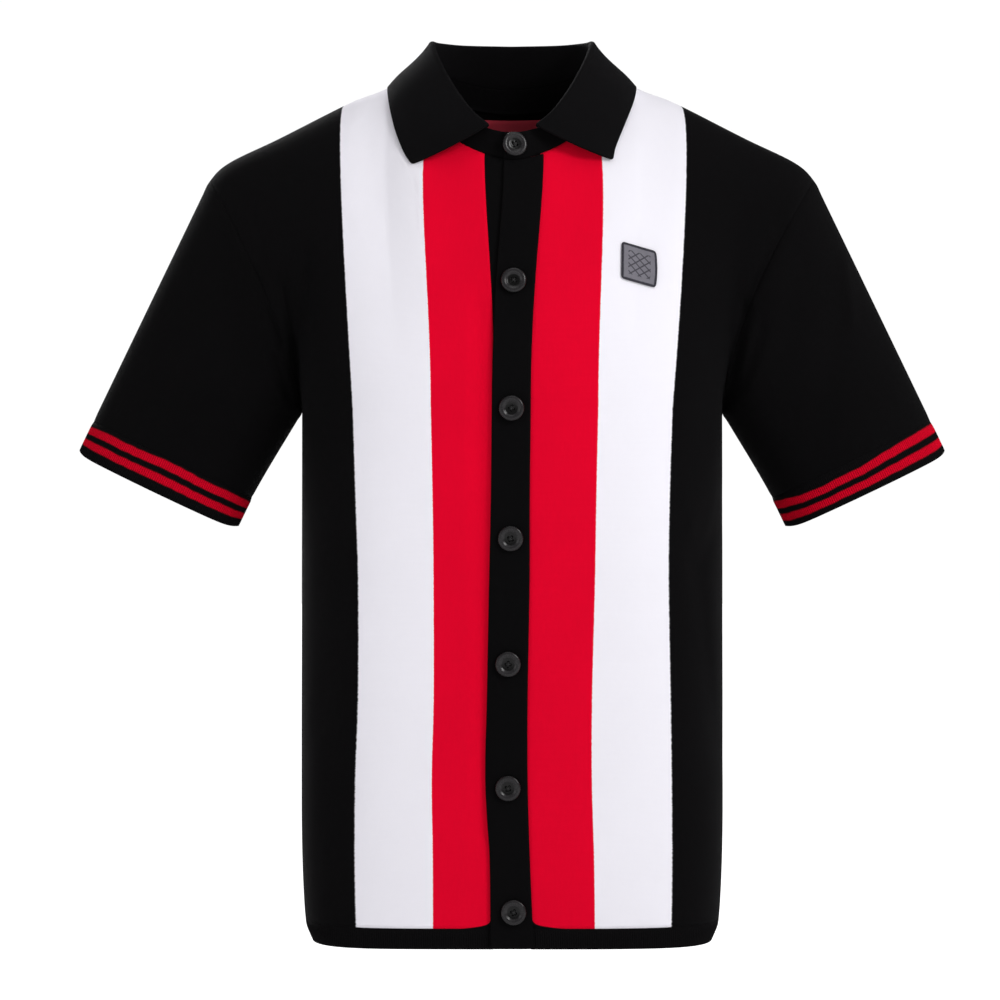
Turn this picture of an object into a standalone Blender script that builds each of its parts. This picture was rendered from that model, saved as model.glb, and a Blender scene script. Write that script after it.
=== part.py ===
"""A short-sleeved knitted polo shirt with a full button front, worn and filled out, with no wearer.

Metres, +Z up. +X is the wearer's left and -Y is the front. The origin lies between the two points
where the shoulder seams reach the neckband, at their height: that is where the shirt hangs.
Right and left in the names are the wearer's, so the right front is at -X.
"""

import math
from collections import namedtuple

import bmesh
import bpy
from mathutils import Matrix, Vector

# Cloth
WALL = 0.0016
BAND_WALL = 0.0020
SEAM_GAP = 0.0003
LONGEST_MITRE = 1.6

# Heights
HEM_Z = -0.7115
HEM_BAND = 0.0167
UNDERARM_Z = -0.2785

# Neck seam: half its width, its reach to the front and to the back, and how far it dips there
NECK_HALF = 0.0860
NECK_Y = 0.0050
NECK_FRONT = 0.0900
NECK_BACK = 0.0600
NECK_DIP_FRONT = 0.0780
NECK_DIP_BACK = 0.0260
NECK_ROUND = 1.7

# Sleeve: the outer and inner corners of the cuff's open end as seen from the front, and its depth
CUFF_OUTER = Vector((0.3600, 0.0, -0.3145))
CUFF_INNER = Vector((0.2285, 0.0, -0.3775))
CUFF_HALF_DEPTH = 0.0490
CUFF_LENGTH = 0.0295
ARMHOLE_HALF_DEPTH = 0.0700
ARMHOLE_CURVE = {-1: 1.42, 1: 1.65}
SHOULDER_TIP_X = 0.2502
SHOULDER_WHITE_X = 0.1390
# How far the line from white to black bows out across the chest
WHITE_BOW = {-1: 0.0045, 1: 0.0064}

# How the body's columns leave the underarm's level and reach the seams above
BASE_PULL = Vector((0.0, 0.0, 0.30))
FRONT_NECK_PULL = Vector((0.0, 0.06, 0.15))
BACK_NECK_PULL = Vector((0.0, -0.05, 0.13))
CORNER_PULL = Vector((0.09, 0.17, 0.05))
OVER_SHOULDER = 0.20
BACK_COLUMN_XS = (0.0, 0.0760, 0.1290)

# Plackets, from the centre line: where their edges reach the neck seam, and the hidden laps
RIGHT_RED_TOP_X = 0.0226
LEFT_RED_TOP_X = 0.0230
WHITE_TOP_X = 0.0665
OUTER_FREE_TOP_X = 0.0069
UNDER_END_X = 0.0085
UNDER_END_TOP_X = 0.0080
LAP = 0.0020
OUTER_TOP_LEVEL = 1.984
OUTER_LOW_LEVEL = 0.0022
NECKBAND_LAP_XS = (0.0120, 0.0030)

# Buttons
BUTTON_RADIUS = 0.0102
BUTTON_HEIGHT = 0.0032

# Badge and label
BADGE_WIDTH = 0.0280
BADGE_HEIGHT = 0.0300
BADGE_X = 0.1010
BADGE_Z = -0.1643
BADGE_FALL = 0.270
BADGE_LEAN = 0.020
BADGE_WALL = 0.0010
LABEL_WIDTH = 0.0600
LABEL_TOP = 0.0050
LABEL_HEIGHT = 0.0300
LABEL_WALL = 0.0008

# The column of a front that ends where the neck seam and the shoulder seam meet
NECK_CORNER = 1.4

# Steps along each piece
LOWER_ROWS = 11
UPPER_ROWS = 11
RED_COLUMNS = 4
WHITE_NECK_COLUMNS = 2
SHOULDER_COLUMNS = 3
SIDE_COLUMNS = 7
NECK_BACK_COLUMNS = 5
PLACKET_COLUMNS = 3
SLEEVE_ROWS = 10
CUFF_ROWS = 2
BAND_ROWS = 2

# The body's cross-sections: half its width, its reach to the front and back, and how square each is
Section = namedtuple("Section", "z half_width front back front_square back_square")
BODY = (
    Section(-0.7115, 0.1664, 0.1172, 0.1095, 4.9, 3.4),
    Section(-0.7015, 0.1710, 0.1192, 0.1120, 4.4, 3.3),
    Section(-0.6900, 0.1726, 0.1200, 0.1125, 4.0, 3.2),
    Section(-0.6000, 0.1732, 0.1205, 0.1080, 3.8, 3.1),
    Section(-0.4500, 0.1733, 0.1215, 0.1020, 3.4, 2.9),
    Section(-0.2785, 0.1735, 0.1240, 0.1100, 2.9, 2.6),
)

# Where the colours change on each front, measured out from the centre line
Lines = namedtuple("Lines", "z r_red r_white r_side l_red l_white l_side")
LINES = (
    Lines(-0.7115, 0.0175, 0.0636, 0.1243, 0.0170, 0.0660, 0.1265),
    Lines(-0.6400, 0.0182, 0.0637, 0.1255, 0.0138, 0.0652, 0.1270),
    Lines(-0.5760, 0.0212, 0.0645, 0.1250, 0.0120, 0.0634, 0.1266),
    Lines(-0.5120, 0.0200, 0.0630, 0.1228, 0.0120, 0.0636, 0.1258),
    Lines(-0.4160, 0.0184, 0.0631, 0.1228, 0.0136, 0.0660, 0.1243),
    Lines(-0.3530, 0.0172, 0.0638, 0.1250, 0.0137, 0.0670, 0.1252),
    Lines(-0.2785, 0.0165, 0.0653, 0.1276, 0.0145, 0.0686, 0.1278),
)

# The shoulder seam, from the neck to the sleeve
Shoulder = namedtuple("Shoulder", "x y z")
SHOULDER = (
    Shoulder(0.0860, 0.0050, 0.0000),
    Shoulder(0.1040, 0.0055, -0.0112),
    Shoulder(0.1300, 0.0060, -0.0212),
    Shoulder(0.1960, 0.0060, -0.0543),
    Shoulder(0.2300, 0.0035, -0.0706),
    Shoulder(0.2424, 0.0015, -0.0789),
    Shoulder(0.2502, 0.0000, -0.0872),
)

# The collar, by the turn round the neck from the front: its fold, its free edge, how far the leaf bows
# out and sags between them, and how much further in and up the wearer's left edge lies
Station = namedtuple("Station", "turn fold_x fold_y fold_z edge_x edge_y edge_z bulge sag left_in left_up")
COLLAR = (
    Station(14, 0.0205, -0.0880, -0.0520, 0.0815, -0.0765, -0.0815, 0.0035, 0.0022, 0.0000, 0.0036),
    Station(30, 0.0340, -0.0780, -0.0405, 0.0885, -0.0685, -0.0695, 0.0035, 0.0010, 0.0050, 0.0024),
    Station(50, 0.0495, -0.0570, -0.0195, 0.0965, -0.0535, -0.0475, 0.0030, 0.0000, 0.0050, 0.0010),
    Station(70, 0.0625, -0.0300, 0.0050, 0.1020, -0.0315, -0.0230, 0.0015, 0.0000, 0.0016, 0.0000),
    Station(90, 0.0690, 0.0020, 0.0240, 0.1040, 0.0020, -0.0055, -0.0035, 0.0000, 0.0000, 0.0000),
    Station(115, 0.0640, 0.0300, 0.0270, 0.0970, 0.0380, -0.0140, -0.0010, 0.0000, 0.0000, 0.0000),
    Station(145, 0.0420, 0.0520, 0.0275, 0.0630, 0.0640, -0.0290, 0.0020, 0.0000, 0.0000, 0.0000),
    Station(180, 0.0000, 0.0600, 0.0275, 0.0000, 0.0760, -0.0350, 0.0030, 0.0000, 0.0000, 0.0000),
)
FOLD_RADIUS = 0.0022

# How the neckband stands on the neck seam, by the turn round the neck
Stand = namedtuple("Stand", "turn lean rise")
STAND = (
    Stand(0, 0.0020, 0.0215),
    Stand(45, 0.0055, 0.0205),
    Stand(90, 0.0125, 0.0155),
    Stand(135, 0.0080, 0.0190),
    Stand(180, 0.0040, 0.0200),
)

# Button places on the bands, from the collar down: out from the centre line, and height
Place = namedtuple("Place", "x z")
BUTTONS = (
    Place(0.0016, -0.0665),
    Place(0.0008, -0.1785),
    Place(-0.0008, -0.2800),
    Place(-0.0016, -0.3837),
    Place(-0.0036, -0.4837),
    Place(-0.0036, -0.5825),
    Place(0.0008, -0.6813),
)

# The largest folds: troughs pressed in from the front or the back, and ridges where depth is below 0,
# each along a line from one place to another, measured out from the centre line
Fold = namedtuple("Fold", "side back x_top z_top x_low z_low width depth")
FOLDS = (
    Fold(-1, False, 0.208, -0.165, 0.190, -0.228, 0.013, 0.0040),
    Fold(-1, False, 0.184, -0.180, 0.177, -0.240, 0.010, 0.0028),
    Fold(-1, False, 0.163, -0.168, 0.168, -0.262, 0.013, 0.0042),
    Fold(-1, False, 0.236, -0.190, 0.222, -0.262, 0.015, -0.0022),
    Fold(-1, False, 0.142, -0.600, 0.160, -0.450, 0.016, 0.0024),
    Fold(1, False, 0.221, -0.131, 0.196, -0.185, 0.014, 0.0034),
    Fold(1, False, 0.190, -0.200, 0.176, -0.262, 0.013, 0.0048),
    Fold(1, False, 0.163, -0.215, 0.160, -0.285, 0.014, 0.0024),
    Fold(1, False, 0.276, -0.155, 0.281, -0.212, 0.012, -0.0022),
    Fold(1, False, 0.168, -0.350, 0.152, -0.398, 0.012, 0.0030),
    Fold(1, False, 0.150, -0.405, 0.164, -0.565, 0.014, 0.0036),
    Fold(-1, True, 0.205, -0.160, 0.180, -0.245, 0.014, 0.0042),
    Fold(-1, True, 0.168, -0.190, 0.160, -0.280, 0.013, 0.0030),
    Fold(-1, True, 0.110, -0.330, 0.040, -0.390, 0.018, 0.0030),
    Fold(1, True, 0.212, -0.150, 0.185, -0.232, 0.014, 0.0038),
    Fold(1, True, 0.172, -0.200, 0.166, -0.290, 0.013, 0.0034),
    Fold(1, True, 0.120, -0.440, 0.060, -0.470, 0.018, 0.0026),
)
FOLD_FADE_Y = 0.030

BLACK = (0.006, 0.006, 0.007)
RED = (0.680, 0.004, 0.018)
WHITE = (0.850, 0.850, 0.880)
CHARCOAL = (0.030, 0.030, 0.033)
GREY = (0.230, 0.220, 0.250)
MAROON = (0.090, 0.008, 0.012)


def mix(a, b, t):
    return a + (b - a) * t


def curve(a, pull_a, b, pull_b, t):
    """The cubic from a to b that leaves a along pull_a and reaches b along pull_b."""
    t2 = t * t
    t3 = t2 * t
    return a * (2 * t3 - 3 * t2 + 1) + pull_a * (t3 - 2 * t2 + t) + b * (3 * t2 - 2 * t3) + pull_b * (t3 - t2)


def row_at(rows, where):
    """A table's row at a value of its first column, on a smooth curve through the rows."""
    i = max(1, min(len(rows) - 1, sum(row[0] <= where for row in rows)))
    before, low, high, after = rows[max(i - 2, 0)], rows[i - 1], rows[i], rows[min(i + 1, len(rows) - 1)]
    span = high[0] - low[0]
    t = (where - low[0]) / span
    values = []
    for k in range(len(low)):
        pull_low = span * (high[k] - before[k]) / (high[0] - before[0])
        pull_high = span * (after[k] - low[k]) / (after[0] - low[0])
        values.append(curve(low[k], pull_low, high[k], pull_high, t))
    return type(low)(*values)


def ring_angle(section, x):
    """The turn from the front centre line at which a section's front is this far out."""
    share = min(abs(x) / section.half_width, 1)
    across = (1 - share**section.front_square) ** (1 / section.front_square)
    return math.copysign(math.atan2(share, across), x)


def ring_point(section, angle, back):
    """A point of a body section: angle 0 is its centre line, and a quarter turn its side."""
    square = section.back_square if back else section.front_square
    depth = section.back if back else -section.front
    s = math.sin(angle)
    c = math.cos(angle)
    reach = (abs(s) ** square + abs(c) ** square) ** (-1 / square)
    return Vector((section.half_width * s * reach, depth * c * reach, section.z))


def neck_point(side, turn):
    """A point of the neck seam: turn 0 is the front centre line, a half turn the back one."""
    x = NECK_HALF * math.sin(turn)
    share = max(0.0, 1 - abs(x / NECK_HALF) ** NECK_ROUND) ** (1 / NECK_ROUND)
    if math.cos(turn) >= 0:
        return Vector((side * x, NECK_Y - NECK_FRONT * math.cos(turn), -NECK_DIP_FRONT * share))
    return Vector((side * x, NECK_Y - NECK_BACK * math.cos(turn), -NECK_DIP_BACK * share))


def neck_turn(x):
    return math.asin(x / NECK_HALF)


def red_turns(side):
    """The turns at which a front's red panel starts and ends on the neck seam."""
    return neck_turn(RIGHT_RED_TOP_X if side < 0 else LEFT_RED_TOP_X), neck_turn(WHITE_TOP_X)


def shoulder_point(side, x):
    row = row_at(SHOULDER, x)
    return Vector((side * x, row.y, row.z))


def armhole_point(side, back, up):
    """A point of the armhole seam, from the underarm (up = 0) to the shoulder (up = 1)."""
    turn = math.pi * up
    rise = (1 - math.cos(turn)) / 2
    tip = shoulder_point(1, SHOULDER_TIP_X)
    x = mix(BODY[-1].half_width, tip.x, rise ** ARMHOLE_CURVE[side])
    y = ARMHOLE_HALF_DEPTH * math.sin(turn) ** 0.9
    return Vector((side * x, y if back else -y, mix(UNDERARM_Z, tip.z, rise)))


def column_stops(side, back, section):
    """The turns round a section of the columns 0, 1, 2 and 3."""
    if back:
        xs = BACK_COLUMN_XS
    else:
        lines = row_at(LINES, section.z)
        if side < 0:
            xs = (lines.r_red - LAP, lines.r_white, lines.r_side)
        else:
            xs = (lines.l_red - LAP, lines.l_white, lines.l_side)
    return [ring_angle(section, x) for x in xs] + [math.pi / 2]


def top_of_column(side, back, column):
    """Where a column ends, at the neck seam or the shoulder seam, and its pull there."""
    inward = -1 if back else 1
    over = Vector((0.0, inward * OVER_SHOULDER, 0.0))
    corner = Vector((-side * CORNER_PULL.x, inward * CORNER_PULL.y, CORNER_PULL.z))
    corner_column = 1 if back else NECK_CORNER
    if column <= corner_column:
        if back:
            turn = mix(math.pi, math.pi / 2, column)
            up = BACK_NECK_PULL
        else:
            start, end = red_turns(side)
            past = max(0.0, column - 1) / (NECK_CORNER - 1)
            turn = mix(mix(start, end, min(column, 1)), math.pi / 2, past)
            up = FRONT_NECK_PULL
        return neck_point(side, turn), up.lerp(corner, (column / corner_column) ** 2.5)
    if column <= 2:
        share = (column - corner_column) / (2 - corner_column)
        return shoulder_point(side, mix(NECK_HALF, SHOULDER_WHITE_X, share)), corner.lerp(over, share)
    return shoulder_point(side, mix(SHOULDER_WHITE_X, SHOULDER_TIP_X, column - 2)), over


def rise_of(base, top, pull, up):
    """A column of the body above the underarm, from its section to the seam at its top."""
    return curve(base, BASE_PULL, top, pull, up)


def folded(point):
    """The point with the folds pressed in, which fade out towards the sides."""
    inward = 1 if point.y < 0 else -1
    fade = min(1.0, abs(point.y) / FOLD_FADE_Y)
    here = Vector((abs(point.x), point.z))
    depth = 0.0
    for fold in FOLDS:
        if fold.side * point.x > 0 and fold.back == (point.y > 0):
            top = Vector((fold.x_top, fold.z_top))
            along = Vector((fold.x_low, fold.z_low)) - top
            share = max(0.0, min(1.0, (here - top).dot(along) / along.length_squared))
            away = (here - top - along * share).length / fold.width
            depth += fold.depth * math.exp(-away * away)
    return Vector((point.x, point.y + inward * fade * depth, point.z))


def body_point(side, back, column, level):
    """A point of the body's outer face.

    Columns: 0 placket or back centre, 1 red to white or back neck corner, 2 white to black,
    3 side seam and armhole. Levels: 0 hem, 1 underarm, 2 neck seam and shoulder seam.
    """
    section = row_at(BODY, mix(HEM_Z, UNDERARM_Z, min(level, 1)))
    stops = column_stops(side, back, section)
    i = min(int(column), 2)
    base = ring_point(section, mix(stops[i], stops[i + 1], column - i), back)
    base.x *= side
    if level <= 1:
        return folded(base)
    up = level - 1
    point = rise_of(base, *top_of_column(side, back, column), up)
    point.x += side * WHITE_BOW[side] * 4 * up * (1 - up) * max(0.0, 1 - abs(column - 2))
    if column > 2:
        side_base = Vector((side * section.half_width, 0.0, section.z))
        straight = rise_of(side_base, *top_of_column(side, back, 3), up)
        point += (armhole_point(side, back, up) - straight) * (column - 2) ** 1.5
    return folded(point)


def centre_point(x_low, x_top, level):
    """A point of the front near its centre line: x_low(z) out below the underarm, x_top at the neck."""
    z = mix(HEM_Z, UNDERARM_Z, min(level, 1))
    section = row_at(BODY, z)
    base = ring_point(section, ring_angle(section, x_low(z)), False)
    if level <= 1:
        return base
    top = neck_point(1, neck_turn(x_top))
    return rise_of(base, top, FRONT_NECK_PULL, level - 1)


def sleeve_point(side, turn, along):
    """A point of a sleeve: turn 0 is the underarm, a quarter the front, a half the top."""
    out = (CUFF_OUTER - CUFF_INNER).normalized()
    down = Vector((-out.z, 0.0, out.x)) * -1
    half_width = (CUFF_OUTER - CUFF_INNER).length / 2
    centre = (CUFF_OUTER + CUFF_INNER) / 2
    angle = 2 * math.pi * turn
    end = centre - out * half_width * math.cos(angle) - Vector((0.0, CUFF_HALF_DEPTH * math.sin(angle), 0.0))
    start_of_cuff = end - down * CUFF_LENGTH
    if along > 1:
        point = start_of_cuff.lerp(end, along - 1)
    else:
        up = 2 * turn if turn <= 0.5 else 2 - 2 * turn
        start = armhole_point(side, turn > 0.5, up)
        start.x *= side
        chord = start_of_cuff - start
        point = curve(start, chord, start_of_cuff, chord.lerp(down * chord.length, 0.5), along)
    return folded(Vector((side * point.x, point.y, point.z)))


def stand_point(side, turn, height):
    """A point of the neckband's outer face, height 0 to 1 from the neck seam to its top."""
    stand = row_at(STAND, math.degrees(turn))
    seam = neck_point(side, turn)
    inward = Vector((-side * math.sin(turn), math.cos(turn), 0.0))
    return seam + (inward * stand.lean + Vector((0.0, 0.0, stand.rise))) * height


def grid(levels, columns, point):
    return [[point(level, column) for column in columns] for level in levels]


def spread(start, end, steps):
    return [mix(start, end, i / steps) for i in range(steps + 1)]


def faces_of(rows, closed):
    """The grid's quads, as index pairs, turned so that they face out."""
    across = len(rows[0])
    for i in range(len(rows) - 1):
        for j in range(across if closed else across - 1):
            k = (j + 1) % across
            yield (i, j), (i, k), (i + 1, k), (i + 1, j)


def key_of(point):
    return tuple(round(value * 1e6) for value in point)


def skin_offsets(pieces):
    """For each point of each piece, the step out that gives every face that meets there one wall."""
    met = {}
    for rows, closed in pieces.values():
        for quad in faces_of(rows, closed):
            a, b, c, d = (rows[i][j] for i, j in quad)
            normal = (c - a).cross(d - b)
            for point in (a, b, c, d):
                met.setdefault(key_of(point), []).append(normal)
    steps = {}
    for key, normals in met.items():
        shared = sum(normals, Vector()).normalized()
        tightest = sum(shared.dot(normal.normalized()) for normal in normals) / len(normals)
        steps[key] = shared * min(1 / max(tightest, 0.01), LONGEST_MITRE)
    return {name: [[steps[key_of(p)] for p in row] for row in rows] for name, (rows, _) in pieces.items()}


def drawn_in(rows, closed):
    """The grid with its outline moved in by half a seam gap, so that neighbours stay apart."""
    last_row = len(rows) - 1
    last = len(rows[0]) - 1
    moved = [[p.copy() for p in row] for row in rows]

    def step(point, towards, before, after):
        along = after - before
        inward = towards - point
        inward -= along * (inward.dot(along) / along.length_squared)
        return inward.normalized() * (SEAM_GAP / 2)

    for j in range(last + 1):
        for i, near in ((0, 1), (last_row, last_row - 1)):
            left = rows[i][j - 1] if closed or j else rows[i][j]
            right = rows[i][(j + 1) % (last + 1)] if closed or j < last else rows[i][j]
            moved[i][j] += step(rows[i][j], rows[near][j], left, right)
    if not closed:
        for i in range(last_row + 1):
            for j, near in ((0, 1), (last, last - 1)):
                below = rows[max(i - 1, 0)][j]
                above = rows[min(i + 1, last_row)][j]
                moved[i][j] += step(rows[i][j], rows[i][near], below, above)
    return moved


def material(name, colour, roughness):
    made = bpy.data.materials.new(name)
    made.use_nodes = True
    shader = made.node_tree.nodes["Principled BSDF"]
    shader.inputs["Base Color"].default_value = (*colour, 1.0)
    shader.inputs["Roughness"].default_value = roughness
    shader.inputs["Metallic"].default_value = 0.0
    return made


def add_object(name, mesh, colour, roughness):
    mesh.materials.append(material(name, colour, roughness))
    made = bpy.data.objects.new(name, mesh)
    bpy.context.scene.collection.objects.link(made)
    return made


def cloth(name, rows, steps, colour, wall=WALL, lift=0.0, closed=False):
    """A wall of cloth: the grid moved out by lift, its inner face a wall below, and its edges."""
    seams = rows
    rows = drawn_in(rows, closed)
    height = len(rows)
    across = len(rows[0])
    points = [p + n * lift for row, normals in zip(rows, steps) for p, n in zip(row, normals)]
    points += [p + n * (lift - wall) for row, normals in zip(rows, steps) for p, n in zip(row, normals)]
    inner = height * across

    def at(i, j):
        return i * across + j

    faces = []
    for quad in faces_of(rows, closed):
        outer = [at(i, j) for i, j in quad]
        faces.append(outer)
        faces.append([index + inner for index in reversed(outer)])
    edges = []
    for j in range(across if closed else across - 1):
        k = (j + 1) % across
        edges += [((0, j), (0, k)), ((height - 1, k), (height - 1, j))]
    if not closed:
        for i in range(height - 1):
            edges += [((i + 1, 0), (i, 0)), ((i, across - 1), (i + 1, across - 1))]
    for a, b in edges:
        # Both pieces at a seam split their edge walls along the same diagonal.
        first = key_of(seams[a[0]][a[1]]) < key_of(seams[b[0]][b[1]])
        a, b = at(*a), at(*b)
        if first:
            faces += [[b, a, b + inner], [a, a + inner, b + inner]]
        else:
            faces += [[b, a, a + inner], [b, a + inner, b + inner]]
    mesh = bpy.data.meshes.new(name)
    mesh.from_pydata(points, [], faces)
    mesh.validate()
    mesh.shade_smooth()
    mesh.set_sharp_from_angle(angle=math.radians(40))
    return add_object(name, mesh, colour, 0.85)


def lower_levels():
    """The body's levels from the top of the hem band to the underarm and on to the top."""
    band = HEM_BAND / (UNDERARM_Z - HEM_Z)
    return spread(band, 1, LOWER_ROWS) + spread(1, 2, UPPER_ROWS)[1:]


def hem_levels():
    return spread(0, HEM_BAND / (UNDERARM_Z - HEM_Z), BAND_ROWS)


def front_columns():
    """The columns of each of a front's panels, from the placket out."""
    white = spread(1, NECK_CORNER, WHITE_NECK_COLUMNS) + spread(NECK_CORNER, 2, SHOULDER_COLUMNS)[1:]
    return {"red": spread(0, 1, RED_COLUMNS), "white": white, "side": spread(2, 3, SIDE_COLUMNS)}


def turned_out(rows, side):
    """A right-hand piece's columns run the other way, so that its faces turn out as well."""
    return rows if side > 0 else [list(reversed(row)) for row in rows]


def right_front_edge(z):
    return LAP - row_at(LINES, z).r_red


def outer_free_edge(z):
    return -row_at(LINES, z).r_red


def outer_sewn_edge(z):
    return row_at(LINES, z).l_red


def under_placket_point(level, column):
    """column 0 is the edge sewn to the right front, 1 its own edge under the other placket."""
    def x_low(z):
        return mix(right_front_edge(z), UNDER_END_X, column)

    return centre_point(x_low, mix(-RIGHT_RED_TOP_X, UNDER_END_TOP_X, column), level)


def outer_placket_point(level, column):
    """column 0 is its free edge, 1 the edge sewn over the left front."""
    def x_low(z):
        return mix(outer_free_edge(z), outer_sewn_edge(z), column)

    return centre_point(x_low, mix(-OUTER_FREE_TOP_X, LEFT_RED_TOP_X + LAP, column), level)


def skin():
    """The outer faces of all that is sewn edge to edge, as name: (rows, closed)."""
    pieces = {}
    body = lower_levels()
    hem = hem_levels()
    for side, name in ((-1, "right"), (1, "left")):
        columns = front_columns()
        for panel, stops in columns.items():
            rows = grid(body, stops, lambda level, c: body_point(side, False, c, level))
            pieces[f"front_{name}_{panel}"] = (turned_out(rows, side), False)
        stops = columns["red"] + columns["white"][1:] + columns["side"][1:]
        rows = grid(hem, stops, lambda level, c: body_point(side, False, c, level))
        pieces[f"hem_front_{name}"] = (turned_out(rows, side), False)
    half = spread(0, 1, NECK_BACK_COLUMNS) + spread(1, 2, SHOULDER_COLUMNS)[1:] + spread(2, 3, SIDE_COLUMNS)[1:]
    across = [(1, c) for c in reversed(half)] + [(-1, c) for c in half[1:]]
    for name, levels in (("back", body), ("hem_back", hem)):
        pieces[name] = (grid(levels, across, lambda level, at: body_point(at[0], True, at[1], level)), False)
    around = [i / (2 * UPPER_ROWS) for i in range(2 * UPPER_ROWS)]
    for side, name in ((-1, "right"), (1, "left")):
        order = around if side > 0 else [around[0]] + list(reversed(around[1:]))
        for piece, lengths in (("sleeve", spread(0, 1, SLEEVE_ROWS)), ("cuff", spread(1, 2, CUFF_ROWS))):
            rows = grid(lengths, order, lambda along, turn: sleeve_point(side, turn, along))
            pieces[f"{piece}_{name}"] = (list(reversed(rows)), True)
    pieces["placket_under"] = (grid(hem[:-1] + body, spread(0, 1, PLACKET_COLUMNS), under_placket_point), False)
    pieces["neckband"] = (neckband_rows(), False)
    return pieces


def front_turns(side):
    """The turns of a front's columns along the neck seam, up to the neck corner."""
    start, end = red_turns(side)
    return spread(start, end, RED_COLUMNS) + spread(end, math.pi / 2, WHITE_NECK_COLUMNS)[1:]


def back_turns():
    return spread(math.pi / 2, math.pi, NECK_BACK_COLUMNS)[1:]


def neckband_rows():
    """From its end under the overlap, round the back, to its end over the front."""
    lap = BAND_WALL + 2 * SEAM_GAP
    start = [(1, neck_turn(UNDER_END_TOP_X)), (1, 0.0), (-1, neck_turn(RIGHT_RED_TOP_X / 2))]
    right = [(-1, turn) for turn in front_turns(-1) + back_turns()]
    left = [(1, turn) for turn in reversed(front_turns(1) + back_turns()[:-1])]
    lapped = [(1, neck_turn(x)) for x in NECKBAND_LAP_XS] + [(-1, neck_turn(OUTER_FREE_TOP_X))]
    rows = []
    for height in spread(0, 1, BAND_ROWS):
        row = [stand_point(side, turn, height) for side, turn in start + right + left]
        row += [stand_point(side, turn, height) + Vector((0.0, -lap, 0.0)) for side, turn in lapped]
        rows.append(list(reversed(row)))
    return rows


def collar_rows():
    """Rows from the neckband's top over the fold to the free edge, across from one front end to the other."""
    first = math.radians(COLLAR[0].turn)
    right = [first] + [turn for turn in front_turns(-1) + back_turns() if turn > first]
    left = [first] + [turn for turn in front_turns(1) + back_turns()[:-1] if turn > first]
    across = [(-1, turn) for turn in right] + [(1, turn) for turn in reversed(left)]
    return [list(reversed(row)) for row in zip(*(collar_section(side, turn) for side, turn in across))]


def collar_section(side, turn):
    station = row_at(COLLAR, math.degrees(turn))
    foot = stand_point(side, turn, 1) + Vector((0.0, 0.0, SEAM_GAP))
    fold = Vector((side * station.fold_x, station.fold_y, station.fold_z))
    edge = Vector((side * station.edge_x, station.edge_y, station.edge_z))
    if side > 0:
        edge += Vector((-station.left_in, 0.0, station.left_up))
    out = Vector((side * math.sin(turn), -math.cos(turn), 0.0))
    points = [foot, foot.lerp(fold - out * 2 * FOLD_RADIUS, 0.5)]
    for degrees in (180, 135, 90, 45, 0):
        angle = math.radians(degrees)
        points.append(fold - out * FOLD_RADIUS + (out * math.cos(angle) + Vector((0, 0, math.sin(angle)))) * FOLD_RADIUS)
    for t in (0.2, 0.4, 0.6, 0.8, 1.0):
        bow = out * station.bulge - Vector((0.0, 0.0, station.sag))
        points.append(fold.lerp(edge, t) + bow * 4 * t * (1 - t))
    return points


def build_button(name, place):
    """A turned disc with a raised rim and a dished middle, set square on the band beneath it."""
    r = BUTTON_RADIUS
    h = BUTTON_HEIGHT
    profile = ((0, 0), (0.70, 0), (0.97, 0.30), (1.0, 0.60), (0.92, 0.95), (0.80, 1.0), (0.66, 0.72), (0, 0.62))
    shape = bmesh.new()
    points = [shape.verts.new((share * r, 0, height * h)) for share, height in profile]
    edges = [shape.edges.new(pair) for pair in zip(points, points[1:])]
    bmesh.ops.spin(shape, geom=points + edges, axis=(0, 0, 1), cent=(0, 0, 0), angle=2 * math.pi, steps=20)
    bmesh.ops.remove_doubles(shape, verts=shape.verts, dist=1e-6)
    bmesh.ops.recalc_face_normals(shape, faces=shape.faces)
    mesh = bpy.data.meshes.new(name)
    shape.to_mesh(mesh)
    shape.free()
    mesh.shade_smooth()
    mesh.set_sharp_from_angle(angle=math.radians(50))
    made = add_object(name, mesh, CHARCOAL, 0.35)
    centre, out = band_face(place)
    made.matrix_world = Matrix.Translation(centre + out * SEAM_GAP) @ out.to_track_quat("Z", "Y").to_matrix().to_4x4()
    return made


def band_face(place):
    """The outer face of the band that carries a button: a point there and the way out."""
    if place.z > neck_point(1, 0).z:
        height = (place.z - neck_point(1, 0).z) / STAND[0].rise
        point = stand_point(1, neck_turn(place.x), height)
        return point + Vector((0.0, -(BAND_WALL + 2 * SEAM_GAP), 0.0)), Vector((0.0, -1.0, 0.1)).normalized()

    def at(x, level):
        return centre_point(lambda z: x, x, level)

    low, high = 0.0, 2.0
    for _ in range(40):
        middle = (low + high) / 2
        if at(place.x, middle).z < place.z:
            low = middle
        else:
            high = middle
    point = at(place.x, low)
    across = at(place.x + 0.01, low) - at(place.x - 0.01, low)
    upward = at(place.x, low + 0.02) - at(place.x, low - 0.02)
    out = across.cross(upward).normalized()
    return point + out * (BAND_WALL + 2 * SEAM_GAP), out


def front_place(side, x, z):
    """The column and level at which a front is this far out and this high."""
    column, level = 1.5, 1.5
    for _ in range(30):
        point = body_point(side, False, column, level)
        column += (x - abs(point.x)) * 15
        level += (z - point.z) * 4
    return column, level


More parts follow.
